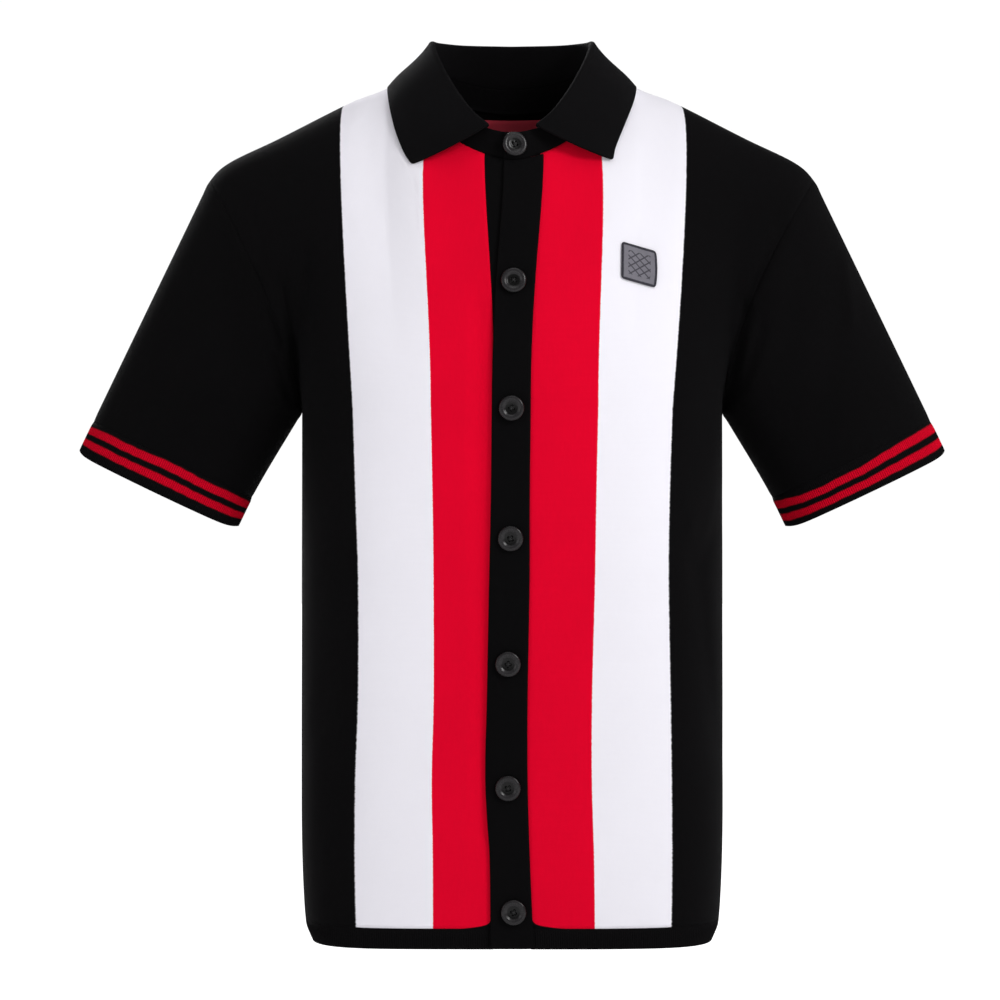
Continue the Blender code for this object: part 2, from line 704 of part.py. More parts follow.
def build_badge():
    rows = []
    for up in spread(-0.5, 0.5, 4):
        row = []
        for across in spread(-0.5, 0.5, 4):
            dx = across * BADGE_WIDTH
            dz = up * BADGE_HEIGHT
            place = front_place(1, BADGE_X + dx + dz * BADGE_LEAN, BADGE_Z + dz - dx * BADGE_FALL)
            row.append(body_point(1, False, *place))
        rows.append(row)
    steps = skin_offsets({"chest_badge": (rows, False)})["chest_badge"]
    return cloth("chest_badge", rows, steps, GREY, BADGE_WALL, BADGE_WALL + 2 * SEAM_GAP)


def build_label():
    """Sewn under the back neck seam, inside, hanging clear of the back's inner face."""
    rows = []
    for drop in spread(LABEL_TOP + LABEL_HEIGHT, LABEL_TOP, 2):
        row = []
        for across in spread(0.5, -0.5, 4):
            x = across * LABEL_WIDTH
            column = abs(x) / NECK_HALF
            point = body_point(1 if x >= 0 else -1, True, column, 2 - drop / 0.2)
            row.append(Vector((x, point.y, neck_point(1, math.pi).z - drop)))
        rows.append(row)
    steps = skin_offsets({"neck_label": (rows, False)})["neck_label"]
    return cloth("neck_label", rows, steps, MAROON, LABEL_WALL, -(WALL + 2 * SEAM_GAP))


def colour_of(name):
    if name.endswith("white"):
        return WHITE
    if name.endswith("red"):
        return RED
    return BLACK


def build():
    for old in list(bpy.data.objects):
        bpy.data.objects.remove(old, do_unlink=True)
    pieces = skin()
    steps = skin_offsets(pieces)
    for name, (rows, closed) in pieces.items():
        cloth(name, rows, steps[name], colour_of(name), closed=closed)
    levels = [OUTER_LOW_LEVEL] + hem_levels()[1:-1] + lower_levels()[:-1] + [OUTER_TOP_LEVEL]
    rows = grid(levels, spread(0, 1, PLACKET_COLUMNS), outer_placket_point)
    steps = skin_offsets({"placket_outer": (rows, False)})["placket_outer"]
    cloth("placket_outer", rows, steps, BLACK, BAND_WALL, BAND_WALL + 2 * SEAM_GAP)
    rows = collar_rows()
    steps = skin_offsets({"collar": (rows, False)})["collar"]
    cloth("collar", rows, steps, BLACK, lift=WALL / 2)
    for number, place in enumerate(BUTTONS, start=1):
        build_button(f"button_{number}", place)
    build_badge()
    build_label()


build()
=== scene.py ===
"""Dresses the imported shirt: fine knitted cloth on the solids' own form, ribs, buttons, badge and label.

Metres, +Z up, +X the wearer's left, -Y the front. Each piece of cloth is worked out again from the
shirt's own sizes, with finer steps and smaller creases than its solid, and replaces it.
"""

import math
from collections import namedtuple

import bpy
from mathutils import Matrix, Vector, kdtree, noise


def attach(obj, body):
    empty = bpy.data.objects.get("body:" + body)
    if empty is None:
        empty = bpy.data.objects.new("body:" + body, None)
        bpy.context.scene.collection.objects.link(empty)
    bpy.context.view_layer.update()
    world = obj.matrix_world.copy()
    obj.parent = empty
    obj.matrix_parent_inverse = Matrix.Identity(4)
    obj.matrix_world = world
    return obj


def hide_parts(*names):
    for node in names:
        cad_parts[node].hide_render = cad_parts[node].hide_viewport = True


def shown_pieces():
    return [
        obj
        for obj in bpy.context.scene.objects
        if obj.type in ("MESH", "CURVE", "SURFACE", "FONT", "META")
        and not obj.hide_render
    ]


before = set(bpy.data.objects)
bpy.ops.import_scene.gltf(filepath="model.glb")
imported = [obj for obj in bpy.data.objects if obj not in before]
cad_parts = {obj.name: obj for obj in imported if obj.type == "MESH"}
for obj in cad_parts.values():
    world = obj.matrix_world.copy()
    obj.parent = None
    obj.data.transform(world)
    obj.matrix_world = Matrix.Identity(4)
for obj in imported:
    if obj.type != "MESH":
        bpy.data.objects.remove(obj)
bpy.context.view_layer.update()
bpy.ops.object.select_all(action="DESELECT")


def table(columns, *rows):
    """Rows of values under named columns."""
    row = namedtuple("Row", columns)
    return tuple(row(*values) for values in rows)


SIDES = ((-1, "right"), (1, "left"))

# Cloth
WALL = 0.0016
BAND_WALL = 0.0020
SEAM_GAP = 0.0003
LAP_HEIGHT = BAND_WALL + 2 * SEAM_GAP
LONGEST_MITRE = 1.6

# Heights
HEM_Z = -0.7115
HEM_BAND = 0.0167
UNDERARM_Z = -0.2785
HEM_BAND_LEVEL = HEM_BAND / (UNDERARM_Z - HEM_Z)

# Neck seam: half its width, its reach to the front and to the back, and how far it dips there
NECK_HALF = 0.0860
NECK_Y = 0.0050
NECK_FRONT = 0.0900
NECK_BACK = 0.0600
NECK_DIP_FRONT = 0.0780
NECK_DIP_BACK = 0.0260
NECK_ROUND = 1.7

# Sleeve: the outer and inner corners of the cuff's open end as seen from the front, and its depth
CUFF_OUTER = Vector((0.3600, 0.0, -0.3145))
CUFF_INNER = Vector((0.2285, 0.0, -0.3775))
CUFF_OUT = (CUFF_OUTER - CUFF_INNER).normalized()
CUFF_DOWN = Vector((CUFF_OUT.z, 0.0, -CUFF_OUT.x))
CUFF_MIDDLE = (CUFF_OUTER + CUFF_INNER) / 2
CUFF_HALF_WIDTH = (CUFF_OUTER - CUFF_INNER).length / 2
CUFF_HALF_DEPTH = 0.0490
CUFF_LENGTH = 0.0295
ARMHOLE_HALF_DEPTH = 0.0700
ARMHOLE_CURVE = {-1: 1.42, 1: 1.65}
ARMHOLE_ROUND = 0.9
SHOULDER_TIP_X = 0.2502
SHOULDER_WHITE_X = 0.1390
# How far the line from white to black bows out across the chest
WHITE_BOW = {-1: 0.0045, 1: 0.0064}

# How the body's columns leave the underarm's level and reach the seams above
BASE_PULL = Vector((0.0, 0.0, 0.30))
FRONT_NECK_PULL = Vector((0.0, 0.06, 0.15))
BACK_NECK_PULL = Vector((0.0, -0.05, 0.13))
CORNER_PULL = Vector((0.09, 0.17, 0.05))
OVER_SHOULDER = 0.20
CORNER_PULL_POWER = 2.5
SIDE_BLEND_POWER = 1.5
BACK_COLUMN_XS = (0.0, 0.0760, 0.1290)

# Plackets, from the centre line: where their edges reach the neck seam, and the hidden laps
RIGHT_RED_TOP_X = 0.0226
LEFT_RED_TOP_X = 0.0230
WHITE_TOP_X = 0.0665
OUTER_FREE_TOP_X = 0.0069
UNDER_END_X = 0.0085
UNDER_END_TOP_X = 0.0080
LAP = 0.0020
OUTER_TOP_LEVEL = 1.984
OUTER_LOW_LEVEL = 0.0022
NECKBAND_LAP_XS = (0.0120, 0.0030)

# Buttons
BUTTON_RADIUS = 0.0102
BUTTON_HEIGHT = 0.0032

# Badge and label
BADGE_WIDTH = 0.0280
BADGE_HEIGHT = 0.0300
BADGE_X = 0.1010
BADGE_Z = -0.1643
BADGE_FALL = 0.270
BADGE_LEAN = 0.020
BADGE_WALL = 0.0010
LABEL_WIDTH = 0.0600
LABEL_TOP = 0.0050
LABEL_HEIGHT = 0.0300
LABEL_WALL = 0.0008
LABEL_ROWS = 10
LABEL_COLUMNS = 20
# How far down the back's cloth one level reaches, near its top
BACK_LEVEL_HEIGHT = 0.2

# Finding a button's seat: rounds of halving, and how far off in metres and levels the points lie
# that give the band's slope there
SEAT_ROUNDS = 40
NEAR_ACROSS = 0.01
NEAR_UP = 0.02
# Finding a place on a front: rounds, and how far each moves for a metre still to go
PLACE_ROUNDS = 30
COLUMNS_A_METRE = 15
LEVELS_A_METRE = 4

# The column of a front that ends where the neck seam and the shoulder seam meet
NECK_CORNER = 1.4

# Steps along each piece
LOWER_ROWS = 68
UPPER_ROWS = 44
RED_COLUMNS = 9
WHITE_NECK_COLUMNS = 5
SHOULDER_COLUMNS = 9
SIDE_COLUMNS = 20
NECK_BACK_COLUMNS = 14
PLACKET_COLUMNS = 8
SLEEVE_ROWS = 40
CUFF_ROWS = 8
BAND_ROWS = 6

# The body's cross-sections: half its width, its reach to the front and back, and how square each is
BODY = table(
    "z half_width front back front_square back_square",
    (-0.7115, 0.1664, 0.1172, 0.1095, 4.9, 3.4),
    (-0.7015, 0.1710, 0.1192, 0.1120, 4.4, 3.3),
    (-0.6900, 0.1726, 0.1200, 0.1125, 4.0, 3.2),
    (-0.6000, 0.1732, 0.1205, 0.1080, 3.8, 3.1),
    (-0.4500, 0.1733, 0.1215, 0.1020, 3.4, 2.9),
    (-0.2785, 0.1735, 0.1240, 0.1100, 2.9, 2.6),
)

# Where the colours change on each front, measured out from the centre line
LINES = table(
    "z r_red r_white r_side l_red l_white l_side",
    (-0.7115, 0.0175, 0.0636, 0.1243, 0.0170, 0.0660, 0.1265),
    (-0.6400, 0.0182, 0.0637, 0.1255, 0.0138, 0.0652, 0.1270),
    (-0.5760, 0.0212, 0.0645, 0.1250, 0.0120, 0.0634, 0.1266),
    (-0.5120, 0.0200, 0.0630, 0.1228, 0.0120, 0.0636, 0.1258),
    (-0.4160, 0.0184, 0.0631, 0.1228, 0.0136, 0.0660, 0.1243),
    (-0.3530, 0.0172, 0.0638, 0.1250, 0.0137, 0.0670, 0.1252),
    (-0.2785, 0.0165, 0.0653, 0.1276, 0.0145, 0.0686, 0.1278),
)

# The shoulder seam, from the neck to the sleeve
SHOULDER = table(
    "x y z",
    (0.0860, 0.0050, 0.0000),
    (0.1040, 0.0055, -0.0112),
    (0.1300, 0.0060, -0.0212),
    (0.1960, 0.0060, -0.0543),
    (0.2300, 0.0035, -0.0706),
    (0.2424, 0.0015, -0.0789),
    (0.2502, 0.0000, -0.0872),
)

# The collar, by the turn round the neck from the front: its fold, its free edge, how far the leaf bows
# out and sags between them, and how much further in and up the wearer's left edge lies
COLLAR = table(
    "turn fold_x fold_y fold_z edge_x edge_y edge_z bulge sag left_in left_up",
    (14, 0.0205, -0.0880, -0.0520, 0.0815, -0.0765, -0.0815, 0.0035, 0.0022, 0.0000, 0.0036),
    (30, 0.0340, -0.0780, -0.0405, 0.0885, -0.0685, -0.0695, 0.0035, 0.0010, 0.0050, 0.0024),
    (50, 0.0495, -0.0570, -0.0195, 0.0965, -0.0535, -0.0475, 0.0030, 0.0000, 0.0050, 0.0010),
    (70, 0.0625, -0.0300, 0.0050, 0.1020, -0.0315, -0.0230, 0.0015, 0.0000, 0.0016, 0.0000),
    (90, 0.0690, 0.0020, 0.0240, 0.1040, 0.0020, -0.0055, -0.0035, 0.0000, 0.0000, 0.0000),
    (115, 0.0640, 0.0300, 0.0270, 0.0970, 0.0380, -0.0140, -0.0010, 0.0000, 0.0000, 0.0000),
    (145, 0.0420, 0.0520, 0.0275, 0.0630, 0.0640, -0.0290, 0.0020, 0.0000, 0.0000, 0.0000),
    (180, 0.0000, 0.0600, 0.0275, 0.0000, 0.0760, -0.0350, 0.0030, 0.0000, 0.0000, 0.0000),
)
FOLD_RADIUS = 0.0022

# How the neckband stands on the neck seam, by the turn round the neck
STAND = table(
    "turn lean rise",
    (0, 0.0020, 0.0215),
    (45, 0.0055, 0.0205),
    (90, 0.0125, 0.0155),
    (135, 0.0080, 0.0190),
    (180, 0.0040, 0.0200),
)

# Buttons on the bands, from the collar down: out from the centre line, height, how far each leans
# across and up, and the turn of its holes in degrees
BUTTONS = table(
    "x z lean_across lean_up turn",
    (0.0016, -0.0665, 0.22, 0.10, 20),
    (0.0008, -0.1785, 0.02, 0.00, 5),
    (-0.0008, -0.2800, -0.02, 0.02, 35),
    (-0.0016, -0.3837, 0.00, -0.02, 12),
    (-0.0036, -0.4837, 0.02, 0.00, 40),
    (-0.0036, -0.5825, -0.02, 0.00, 8),
    (0.0008, -0.6813, 0.00, 0.03, 25),
)

# The largest folds: troughs pressed in from the front or the back, and ridges where depth is below 0,
# each along a line from one place to another, measured out from the centre line
FOLDS = table(
    "side back x_top z_top x_low z_low width depth",
    (-1, False, 0.208, -0.165, 0.190, -0.228, 0.013, 0.0040),
    (-1, False, 0.184, -0.180, 0.177, -0.240, 0.010, 0.0028),
    (-1, False, 0.163, -0.168, 0.168, -0.262, 0.013, 0.0042),
    (-1, False, 0.236, -0.190, 0.222, -0.262, 0.015, -0.0022),
    (-1, False, 0.142, -0.600, 0.160, -0.450, 0.016, 0.0024),
    (1, False, 0.221, -0.131, 0.196, -0.185, 0.014, 0.0034),
    (1, False, 0.190, -0.200, 0.176, -0.262, 0.013, 0.0048),
    (1, False, 0.163, -0.215, 0.160, -0.285, 0.014, 0.0024),
    (1, False, 0.276, -0.155, 0.281, -0.212, 0.012, -0.0022),
    (1, False, 0.168, -0.350, 0.152, -0.398, 0.012, 0.0030),
    (1, False, 0.150, -0.405, 0.164, -0.565, 0.014, 0.0036),
    (-1, True, 0.205, -0.160, 0.180, -0.245, 0.014, 0.0042),
    (-1, True, 0.168, -0.190, 0.160, -0.280, 0.013, 0.0030),
    (-1, True, 0.110, -0.330, 0.040, -0.390, 0.018, 0.0030),
    (1, True, 0.212, -0.150, 0.185, -0.232, 0.014, 0.0038),
    (1, True, 0.172, -0.200, 0.166, -0.290, 0.013, 0.0034),
    (1, True, 0.120, -0.440, 0.060, -0.470, 0.018, 0.0026),
    # Smaller than the solids carry
    (-1, False, 0.214, -0.108, 0.200, -0.165, 0.007, 0.0016),
    (-1, False, 0.196, -0.178, 0.186, -0.232, 0.006, 0.0018),
    (-1, False, 0.174, -0.205, 0.1735, -0.262, 0.006, 0.0020),
    (-1, False, 0.255, -0.205, 0.236, -0.300, 0.010, 0.0010),
    (-1, False, 0.285, -0.180, 0.300, -0.260, 0.012, -0.0010),
    (-1, False, 0.150, -0.250, 0.160, -0.330, 0.009, 0.0012),
    (1, False, 0.206, -0.150, 0.190, -0.196, 0.007, 0.0016),
    (1, False, 0.182, -0.222, 0.1735, -0.268, 0.006, 0.0020),
    (1, False, 0.232, -0.160, 0.222, -0.240, 0.010, 0.0012),
    (1, False, 0.262, -0.225, 0.250, -0.310, 0.010, 0.0010),
    (1, False, 0.170, -0.372, 0.158, -0.388, 0.006, 0.0016),
    (1, False, 0.160, -0.440, 0.168, -0.520, 0.008, -0.0012),
    (-1, True, 0.222, -0.130, 0.196, -0.205, 0.008, 0.0016),
    (-1, True, 0.150, -0.240, 0.120, -0.300, 0.010, 0.0014),
    (-1, True, 0.080, -0.520, 0.020, -0.560, 0.014, 0.0016),
    (1, True, 0.226, -0.120, 0.200, -0.190, 0.008, 0.0016),
    (1, True, 0.155, -0.250, 0.130, -0.310, 0.010, 0.0014),
    (1, True, 0.140, -0.360, 0.100, -0.400, 0.012, 0.0018),
)
FOLD_FADE_Y = 0.030

# Colours
BLACK_YARN = (0.0031, 0.0028, 0.0032)
RED_YARN = (0.800, 0.0002, 0.0230)
WHITE_YARN = (0.872, 0.853, 0.915)
CUFF_RED = (0.560, 0.0004, 0.0150)
MAROON_YARN = (0.440, 0.0330, 0.0550)
BADGE_GREY = (0.185, 0.178, 0.205)
BADGE_BORDER = (0.042, 0.040, 0.050)
BUTTON_GREY = (0.018, 0.0165, 0.018)

# Knit: the width of a wale and the height of a course, on the panels and on the bands and collar
WALE = 0.00125
COURSE = 0.00095
FINE_KNIT = {"wale": 0.00110, "course": 0.0008}
# A stitch: how steeply its rows rise across a wale, and how much legs and rows stand out
STITCH_SLOPE = 1.1
LEG_HEIGHT = 0.7
ROW_HEIGHT = 0.22
# How the yarn differs from wale to wale and, more slowly, from course to course
YARN_SCALE = 1.7
YARN_ALONG = 0.05
# Ribs: the height of a course, and how far out of a groove the painted shade in it is darkest and how far it
# still shades
RIB_COURSE = 0.0010
RIB_GROOVE = (0.1, 0.75)
GROOVE_SHADE = 0.85
# The size of the slight clouds in all cloth, as a noise scale
CLOUDS = 14.0
# What stitches and clouds add to the shade: the stitches' painted shade between them with their yarn, and the
# clouds' random tone
STITCH_SHADE = 0.6
PANEL_STITCH_SHADE = 0.55
CLOUD_SHADE = 0.5
# How dark each yarn gets where its shade value is least, as a share of its colour: painted shade between
# stitches, in rib grooves and along woven rows, with darker yarn, clouds and wear
BLACK_LOW = 0.45
PANEL_BLACK_LOW = 0.55
RED_LOW = 0.80
WHITE_LOW = 0.955
RIB_LOW = 0.35
STRIPE_LOW = 0.20
MAROON_LOW = 0.5
BADGE_LOW = 0.78
# How high each surface's relief is
KNIT_RELIEF = 0.00024
PANEL_RELIEF = 0.00020
RIB_RELIEF = 0.00012
THREAD_RELIEF = 0.0001
LABEL_RELIEF = 0.0001
BADGE_RELIEF = 0.0004
BLACK_SHEEN = 0.004
COLLAR_SHEEN = 0.03
# How far the colours' edges slip from course to course, and how soft they are, in columns
EDGE_SLIP = 0.0036
EDGE_BLUR = 0.006
# The black that climbs the red beside the placket: its height there, how fast it falls away and how
# bent it is, the same for its corner, and the most it is
CLIMB = 0.0035
CLIMB_FALL = 1.7
CLIMB_POWER = 1.5
CLIMB_CORNER = 0.0009
CLIMB_CORNER_FALL = 9.0
CLIMB_LIMIT = 0.0120

# Cuff stripes, up from the cuff's open edge
CUFF_STRIPES = ((0.0082, 0.0152), (0.0197, 0.0270))
# How far the stripes are stretched up along each cuff, from its outer end to its inner end
CUFF_STRETCH = {
    -1: (0.93, 0.99, 0.985, 1.00, 1.05, 1.03, 0.98, 1.00, 0.96),
    1: (1.26, 1.22, 1.17, 1.09, 1.00, 0.99, 0.95, 1.00, 1.17),
}
CUFF_SHIFT = {-1: (1.0, 0.0), 1: (1.068, 0.0029)}
STRIPE_BLUR = 0.0004
STRIPE_DRIFT = 0.0014
STRIPE_DRIFT_SCALE = 90.0
CUFF_CORNER = 0.0034
CUFF_CORNER_POWER = 14

# The sheets' thickness, from what turn in degrees and how far their edges are rounded, and how uneven
# the cloth is, over long and short waves along each axis
CLOTH = 0.0012
BAND_CLOTH = 0.0018
OUTER_BAND_CLOTH = 0.0017
COLLAR_CLOTH = 0.0018
EDGE_TURN = 50
BAND_EDGE = 0.0005
COLLAR_EDGE = 0.0007
BADGE_EDGE = 0.0003
LABEL_EDGE = 0.0002
CLOTH_WAVE = 0.0012
LONG_WAVES = Vector((9, 5, 6))
SHORT_WAVES = Vector((22, 9, 13))
SHORT_WAVES_START = Vector((7, 0, 0))
SHORT_WAVES_SHARE = 0.5

# How sewn seams draw the cloth in: the groove's depth, its width, and the cloth's rise beside it
Seam = namedtuple("Seam", "depth width proud")
ARMHOLE_SEAM = Seam(0.0009, 0.0026, 0.0004)
FLAT_SEAM = Seam(0.0009, 0.0026, 0.0003)
NECK_SEAM = Seam(0.0008, 0.0024, 0.0002)
RIB_SEAM = Seam(0.0004, 0.0020, 0.0)
SEAM_STOPS = 160
SEAM_REACH = 4
SEAM_RISE_AT = 1.9

# Small creases, seen from the front or from behind as lines, with how deep and how wide they are
CREASE_COLUMNS = "x_from z_from x_to z_to depth width"
CREASE_REACH = 9
FRONT_CREASES = table(
    CREASE_COLUMNS,
    (-0.208, -0.169, -0.190, -0.226, 0.0034, 0.0052),
    (-0.186, -0.181, -0.176, -0.230, 0.0030, 0.0050),
    (-0.178, -0.224, -0.172, -0.277, 0.0040, 0.0055),
    (-0.196, -0.236, -0.180, -0.272, 0.0030, 0.0050),
    (-0.166, -0.150, -0.169, -0.222, 0.0020, 0.0075),
    (-0.167, -0.566, -0.134, -0.440, 0.0008, 0.0080),
    (-0.0265, -0.190, -0.0250, -0.620, 0.0020, 0.0085),
    (0.221, -0.131, 0.196, -0.181, 0.0036, 0.0060),
    (0.190, -0.196, 0.176, -0.274, 0.0046, 0.0062),
    (0.203, -0.214, 0.186, -0.262, 0.0020, 0.0065),
    (0.274, -0.157, 0.278, -0.209, -0.0018, 0.0060),
    (0.139, -0.349, 0.150, -0.402, -0.0016, 0.0036),
    (0.165, -0.345, 0.154, -0.390, -0.0016, 0.0036),
    (0.149, -0.404, 0.167, -0.560, 0.0018, 0.0070),
)
BACK_CREASES = table(
    CREASE_COLUMNS,
    (-0.190, -0.190, -0.176, -0.268, 0.0042, 0.0062),
    (-0.214, -0.150, -0.196, -0.200, 0.0028, 0.0055),
    (0.187, -0.186, 0.174, -0.270, 0.0040, 0.0060),
    (0.206, -0.164, 0.192, -0.216, 0.0030, 0.0052),
    (0.146, -0.390, 0.164, -0.520, 0.0009, 0.0075),
    (-0.150, -0.360, -0.162, -0.450, 0.0009, 0.0070),
)

# The lowest corners of the sides, where the hem is drawn in and up
HEM_ROUND_TOP = -0.600
HEM_ROUND = 0.0034
HEM_ROUND_LIFT = 0.4
HEM_ROUND_POWER = 8
HEM_HALF_WIDTH = 0.168

# Ribs of the cuffs and hem, in steps of RIB_COLUMN across each; they flatten towards the seam
RIB_PITCH = 0.0018
RIB_STEPS = 6
RIB_COLUMN = RIB_PITCH / RIB_STEPS
RIB_HEIGHT = 0.00025
RIB_OPEN_EDGE = 0.55
RIB_FADE_ROWS = 2
RIB_CLOTH = 0.0006

# How far a sewn edge turns in and goes on under the cloth beside it
TUCK_IN = 0.0011
TUCK_ON = 0.0012
PLACKET_SEAM_DROP = 0.0004

# Collar: how round its tips are
TIP_ROUND = 0.30
# How far the collar's edge drops and comes in where it crosses each shoulder, by row from the edge
SIDE_DROP = 0.0042
SIDE_IN = 0.0014
SIDE_SHARES = (1.0, 0.40, 0.10)
SIDE_POWER = 10

# Badge: its rounded corners, its bowed edge, its size on the map, its border and its thread pattern
BADGE_STEPS = 16
BADGE_CORNER_ROUND = 0.8
BADGE_BOW = 0.0012
BADGE_CLOTH_WIDTH = BADGE_WIDTH * 1.03
BADGE_CLOTH_HEIGHT = BADGE_HEIGHT * 1.03
BADGE_BORDER_WIDTH = (0.0015, 0.0021)
BADGE_FIELD_EDGE = (0.0052, 0.0056)
BADGE_LOZENGE = 0.0037
BADGE_LOZENGE_SLOPE = 1.15
BADGE_THREAD_WIDTH = (0.0005, 0.0010)
BADGE_THREAD_DARK = 0.85
TWILL_PITCH = 0.0006
OVERSTITCH_PITCH = 0.0011
# How far the border's inner edge strays, and the size of that and of the badge's wear, as noise scales
BORDER_STRAY = 0.0007
BORDER_STRAY_SCALE = 420.0
BADGE_WEAR_SCALE = 260.0
# What shows of the twill in the badge's shade, as painted shade along its low lines, and how far twill,
# thread and overstitch stand out
TWILL_SHADE = 0.25
TWILL_RISE = 0.10
BADGE_THREAD_RISE = 0.35
OVERSTITCH_RISE = 0.3
# The label's shade, and what its rows add to it: darker where the rows' relief dips, as painted shade
LABEL_SHADE = 0.8
LABEL_ROW_SHADE = 0.15

# The button's steps up and in from its underside, as shares of its radius and height
BUTTON_STEPS = (
    (0.95, 0.22), (1.0, 0.45), (0.995, 0.62), (0.96, 0.80), (0.90, 0.93), (0.82, 1.0), (0.73, 0.98),
    (0.65, 0.90), (0.58, 0.76), (0.53, 0.64), (0.46, 0.58), (0.30, 0.55),
)
# How bright the button is painted, out from its middle: share of its radius and share of its colour; the rim
# is a painted highlight, the dish and the outer slope painted shade
BUTTON_PAINTED_LIGHT = ((0.0, 0.02), (0.45, 0.02), (0.58, 1.0), (0.88, 1.0), (0.98, 0.2))
BUTTON_FOOT = 0.70
BUTTON_SIDES = 64
HOLE_OUT = 0.0020
HOLE_RADIUS = 0.00085
HOLE_SIDES = 20
DRILL_LENGTH = 0.02
BUTTON_EDGE = 0.00018
# The least turn between two faces, in degrees, at which an edge is rounded or stays sharp
BUTTON_EDGE_TURN = 38
BUTTON_SHARP_TURN = 40
# Its cloudiness as a noise scale and detail, and its brightness and roughness with what clouds add
BUTTON_CLOUDS = (900.0, 3.0)
BUTTON_BRIGHT = (0.7, 0.3)
BUTTON_ROUGH = (0.20, 0.14)
THREAD_RADIUS = 0.00042
THREAD_HALF_LENGTH = HOLE_OUT * 1.05
THREAD_SIDES = 10
THREAD_CUTS = 3
THREAD_TWIST_SCALE = 4000.0
THREAD_HEIGHT = BUTTON_HEIGHT * 0.66 + 0.0004
THREAD_ARCH = 0.0016
THREAD_CROSSING = 0.0003

# Stage
FLOOR_Z = -1.30
CAMERA_X = -0.010
CAMERA_Z = -0.353
CAMERA_AWAY = 3.0
CAMERA_FAR = 100
SENSOR_WIDTH = 36
VIEW_WIDTH = 0.83
SHIRT_MIDDLE = Vector((0.0, 0.0, -0.35))
WORLD_LIGHT = 0.30
SKY_SEEN = 1.02
FLOOR_SIZE = 60
# The floor glows away from the shirt, more and more between these distances
FLOOR_GLOW_FROM = 1.6
FLOOR_GLOW_FULL = 3.8
LIGHTS = table(
    "name place size power",
    ("key", (2.4, -2.2, 1.5), (1.2, 1.2), 79.0),
    ("fill", (-2.6, -2.0, 0.4), (1.3, 1.3), 12.0),
    ("top", (0.2, -0.9, 2.4), (1.8, 1.2), 13.0),
    ("behind", (-1.0, 2.6, 1.3), (1.6, 1.2), 90.0),
)


def mix(a, b, t):
    return a + (b - a) * t


def curve(a, pull_a, b, pull_b, t):
    """The cubic from a to b that leaves a along pull_a and reaches b along pull_b."""
    t2 = t * t
    t3 = t2 * t
    ends = a * (2 * t3 - 3 * t2 + 1) + pull_a * (t3 - 2 * t2 + t)
    return ends + b * (3 * t2 - 2 * t3) + pull_b * (t3 - t2)


def row_at(rows, where):
    """A table's row at a value of its first column, on a smooth curve through the rows."""
    i = max(1, min(len(rows) - 1, sum(row[0] <= where for row in rows)))
    before, low, high, after = rows[max(i - 2, 0)], rows[i - 1], rows[i], rows[min(i + 1, len(rows) - 1)]
    span = high[0] - low[0]
    t = (where - low[0]) / span
    values = []
    for k in range(len(low)):
        pull_low = span * (high[k] - before[k]) / (high[0] - before[0])
        pull_high = span * (after[k] - low[k]) / (after[0] - low[0])
        values.append(curve(low[k], pull_low, high[k], pull_high, t))
    return type(low)(*values)


def ring_angle(section, x):
    """The turn from the front centre line at which a section's front is this far out."""
    share = min(abs(x) / section.half_width, 1)
    across = (1 - share**section.front_square) ** (1 / section.front_square)
    return math.copysign(math.atan2(share, across), x)


def ring_point(section, angle, back):
    """A point of a body section: angle 0 is its centre line, and a quarter turn its side."""
    square = section.back_square if back else section.front_square
    depth = section.back if back else -section.front
    s = math.sin(angle)
    c = math.cos(angle)
    reach = (abs(s) ** square + abs(c) ** square) ** (-1 / square)
    return Vector((section.half_width * s * reach, depth * c * reach, section.z))


def neck_point(side, turn):
    """A point of the neck seam: turn 0 is the front centre line, a half turn the back one."""
    x = NECK_HALF * math.sin(turn)
    share = max(0.0, 1 - abs(x / NECK_HALF) ** NECK_ROUND) ** (1 / NECK_ROUND)
    if math.cos(turn) >= 0:
        return Vector((side * x, NECK_Y - NECK_FRONT * math.cos(turn), -NECK_DIP_FRONT * share))
    return Vector((side * x, NECK_Y - NECK_BACK * math.cos(turn), -NECK_DIP_BACK * share))


def neck_turn(x):
    return math.asin(x / NECK_HALF)


def red_turns(side):
    """The turns at which a front's red panel starts and ends on the neck seam."""
    return neck_turn(RIGHT_RED_TOP_X if side < 0 else LEFT_RED_TOP_X), neck_turn(WHITE_TOP_X)


def shoulder_point(side, x):
    row = row_at(SHOULDER, x)
    return Vector((side * x, row.y, row.z))


def armhole_point(side, back, up):
    """A point of the armhole seam, from the underarm (up = 0) to the shoulder (up = 1)."""
    turn = math.pi * up
    rise = (1 - math.cos(turn)) / 2
    tip = shoulder_point(1, SHOULDER_TIP_X)
    x = mix(BODY[-1].half_width, tip.x, rise ** ARMHOLE_CURVE[side])
    y = ARMHOLE_HALF_DEPTH * math.sin(turn) ** ARMHOLE_ROUND
    return Vector((side * x, y if back else -y, mix(UNDERARM_Z, tip.z, rise)))


def column_stops(side, back, section):
    """The turns round a section of the columns 0, 1, 2 and 3."""
    if back:
        xs = BACK_COLUMN_XS
    else:
        lines = row_at(LINES, section.z)
        if side < 0:
            xs = (lines.r_red - LAP, lines.r_white, lines.r_side)
        else:
            xs = (lines.l_red - LAP, lines.l_white, lines.l_side)
    return [ring_angle(section, x) for x in xs] + [math.pi / 2]


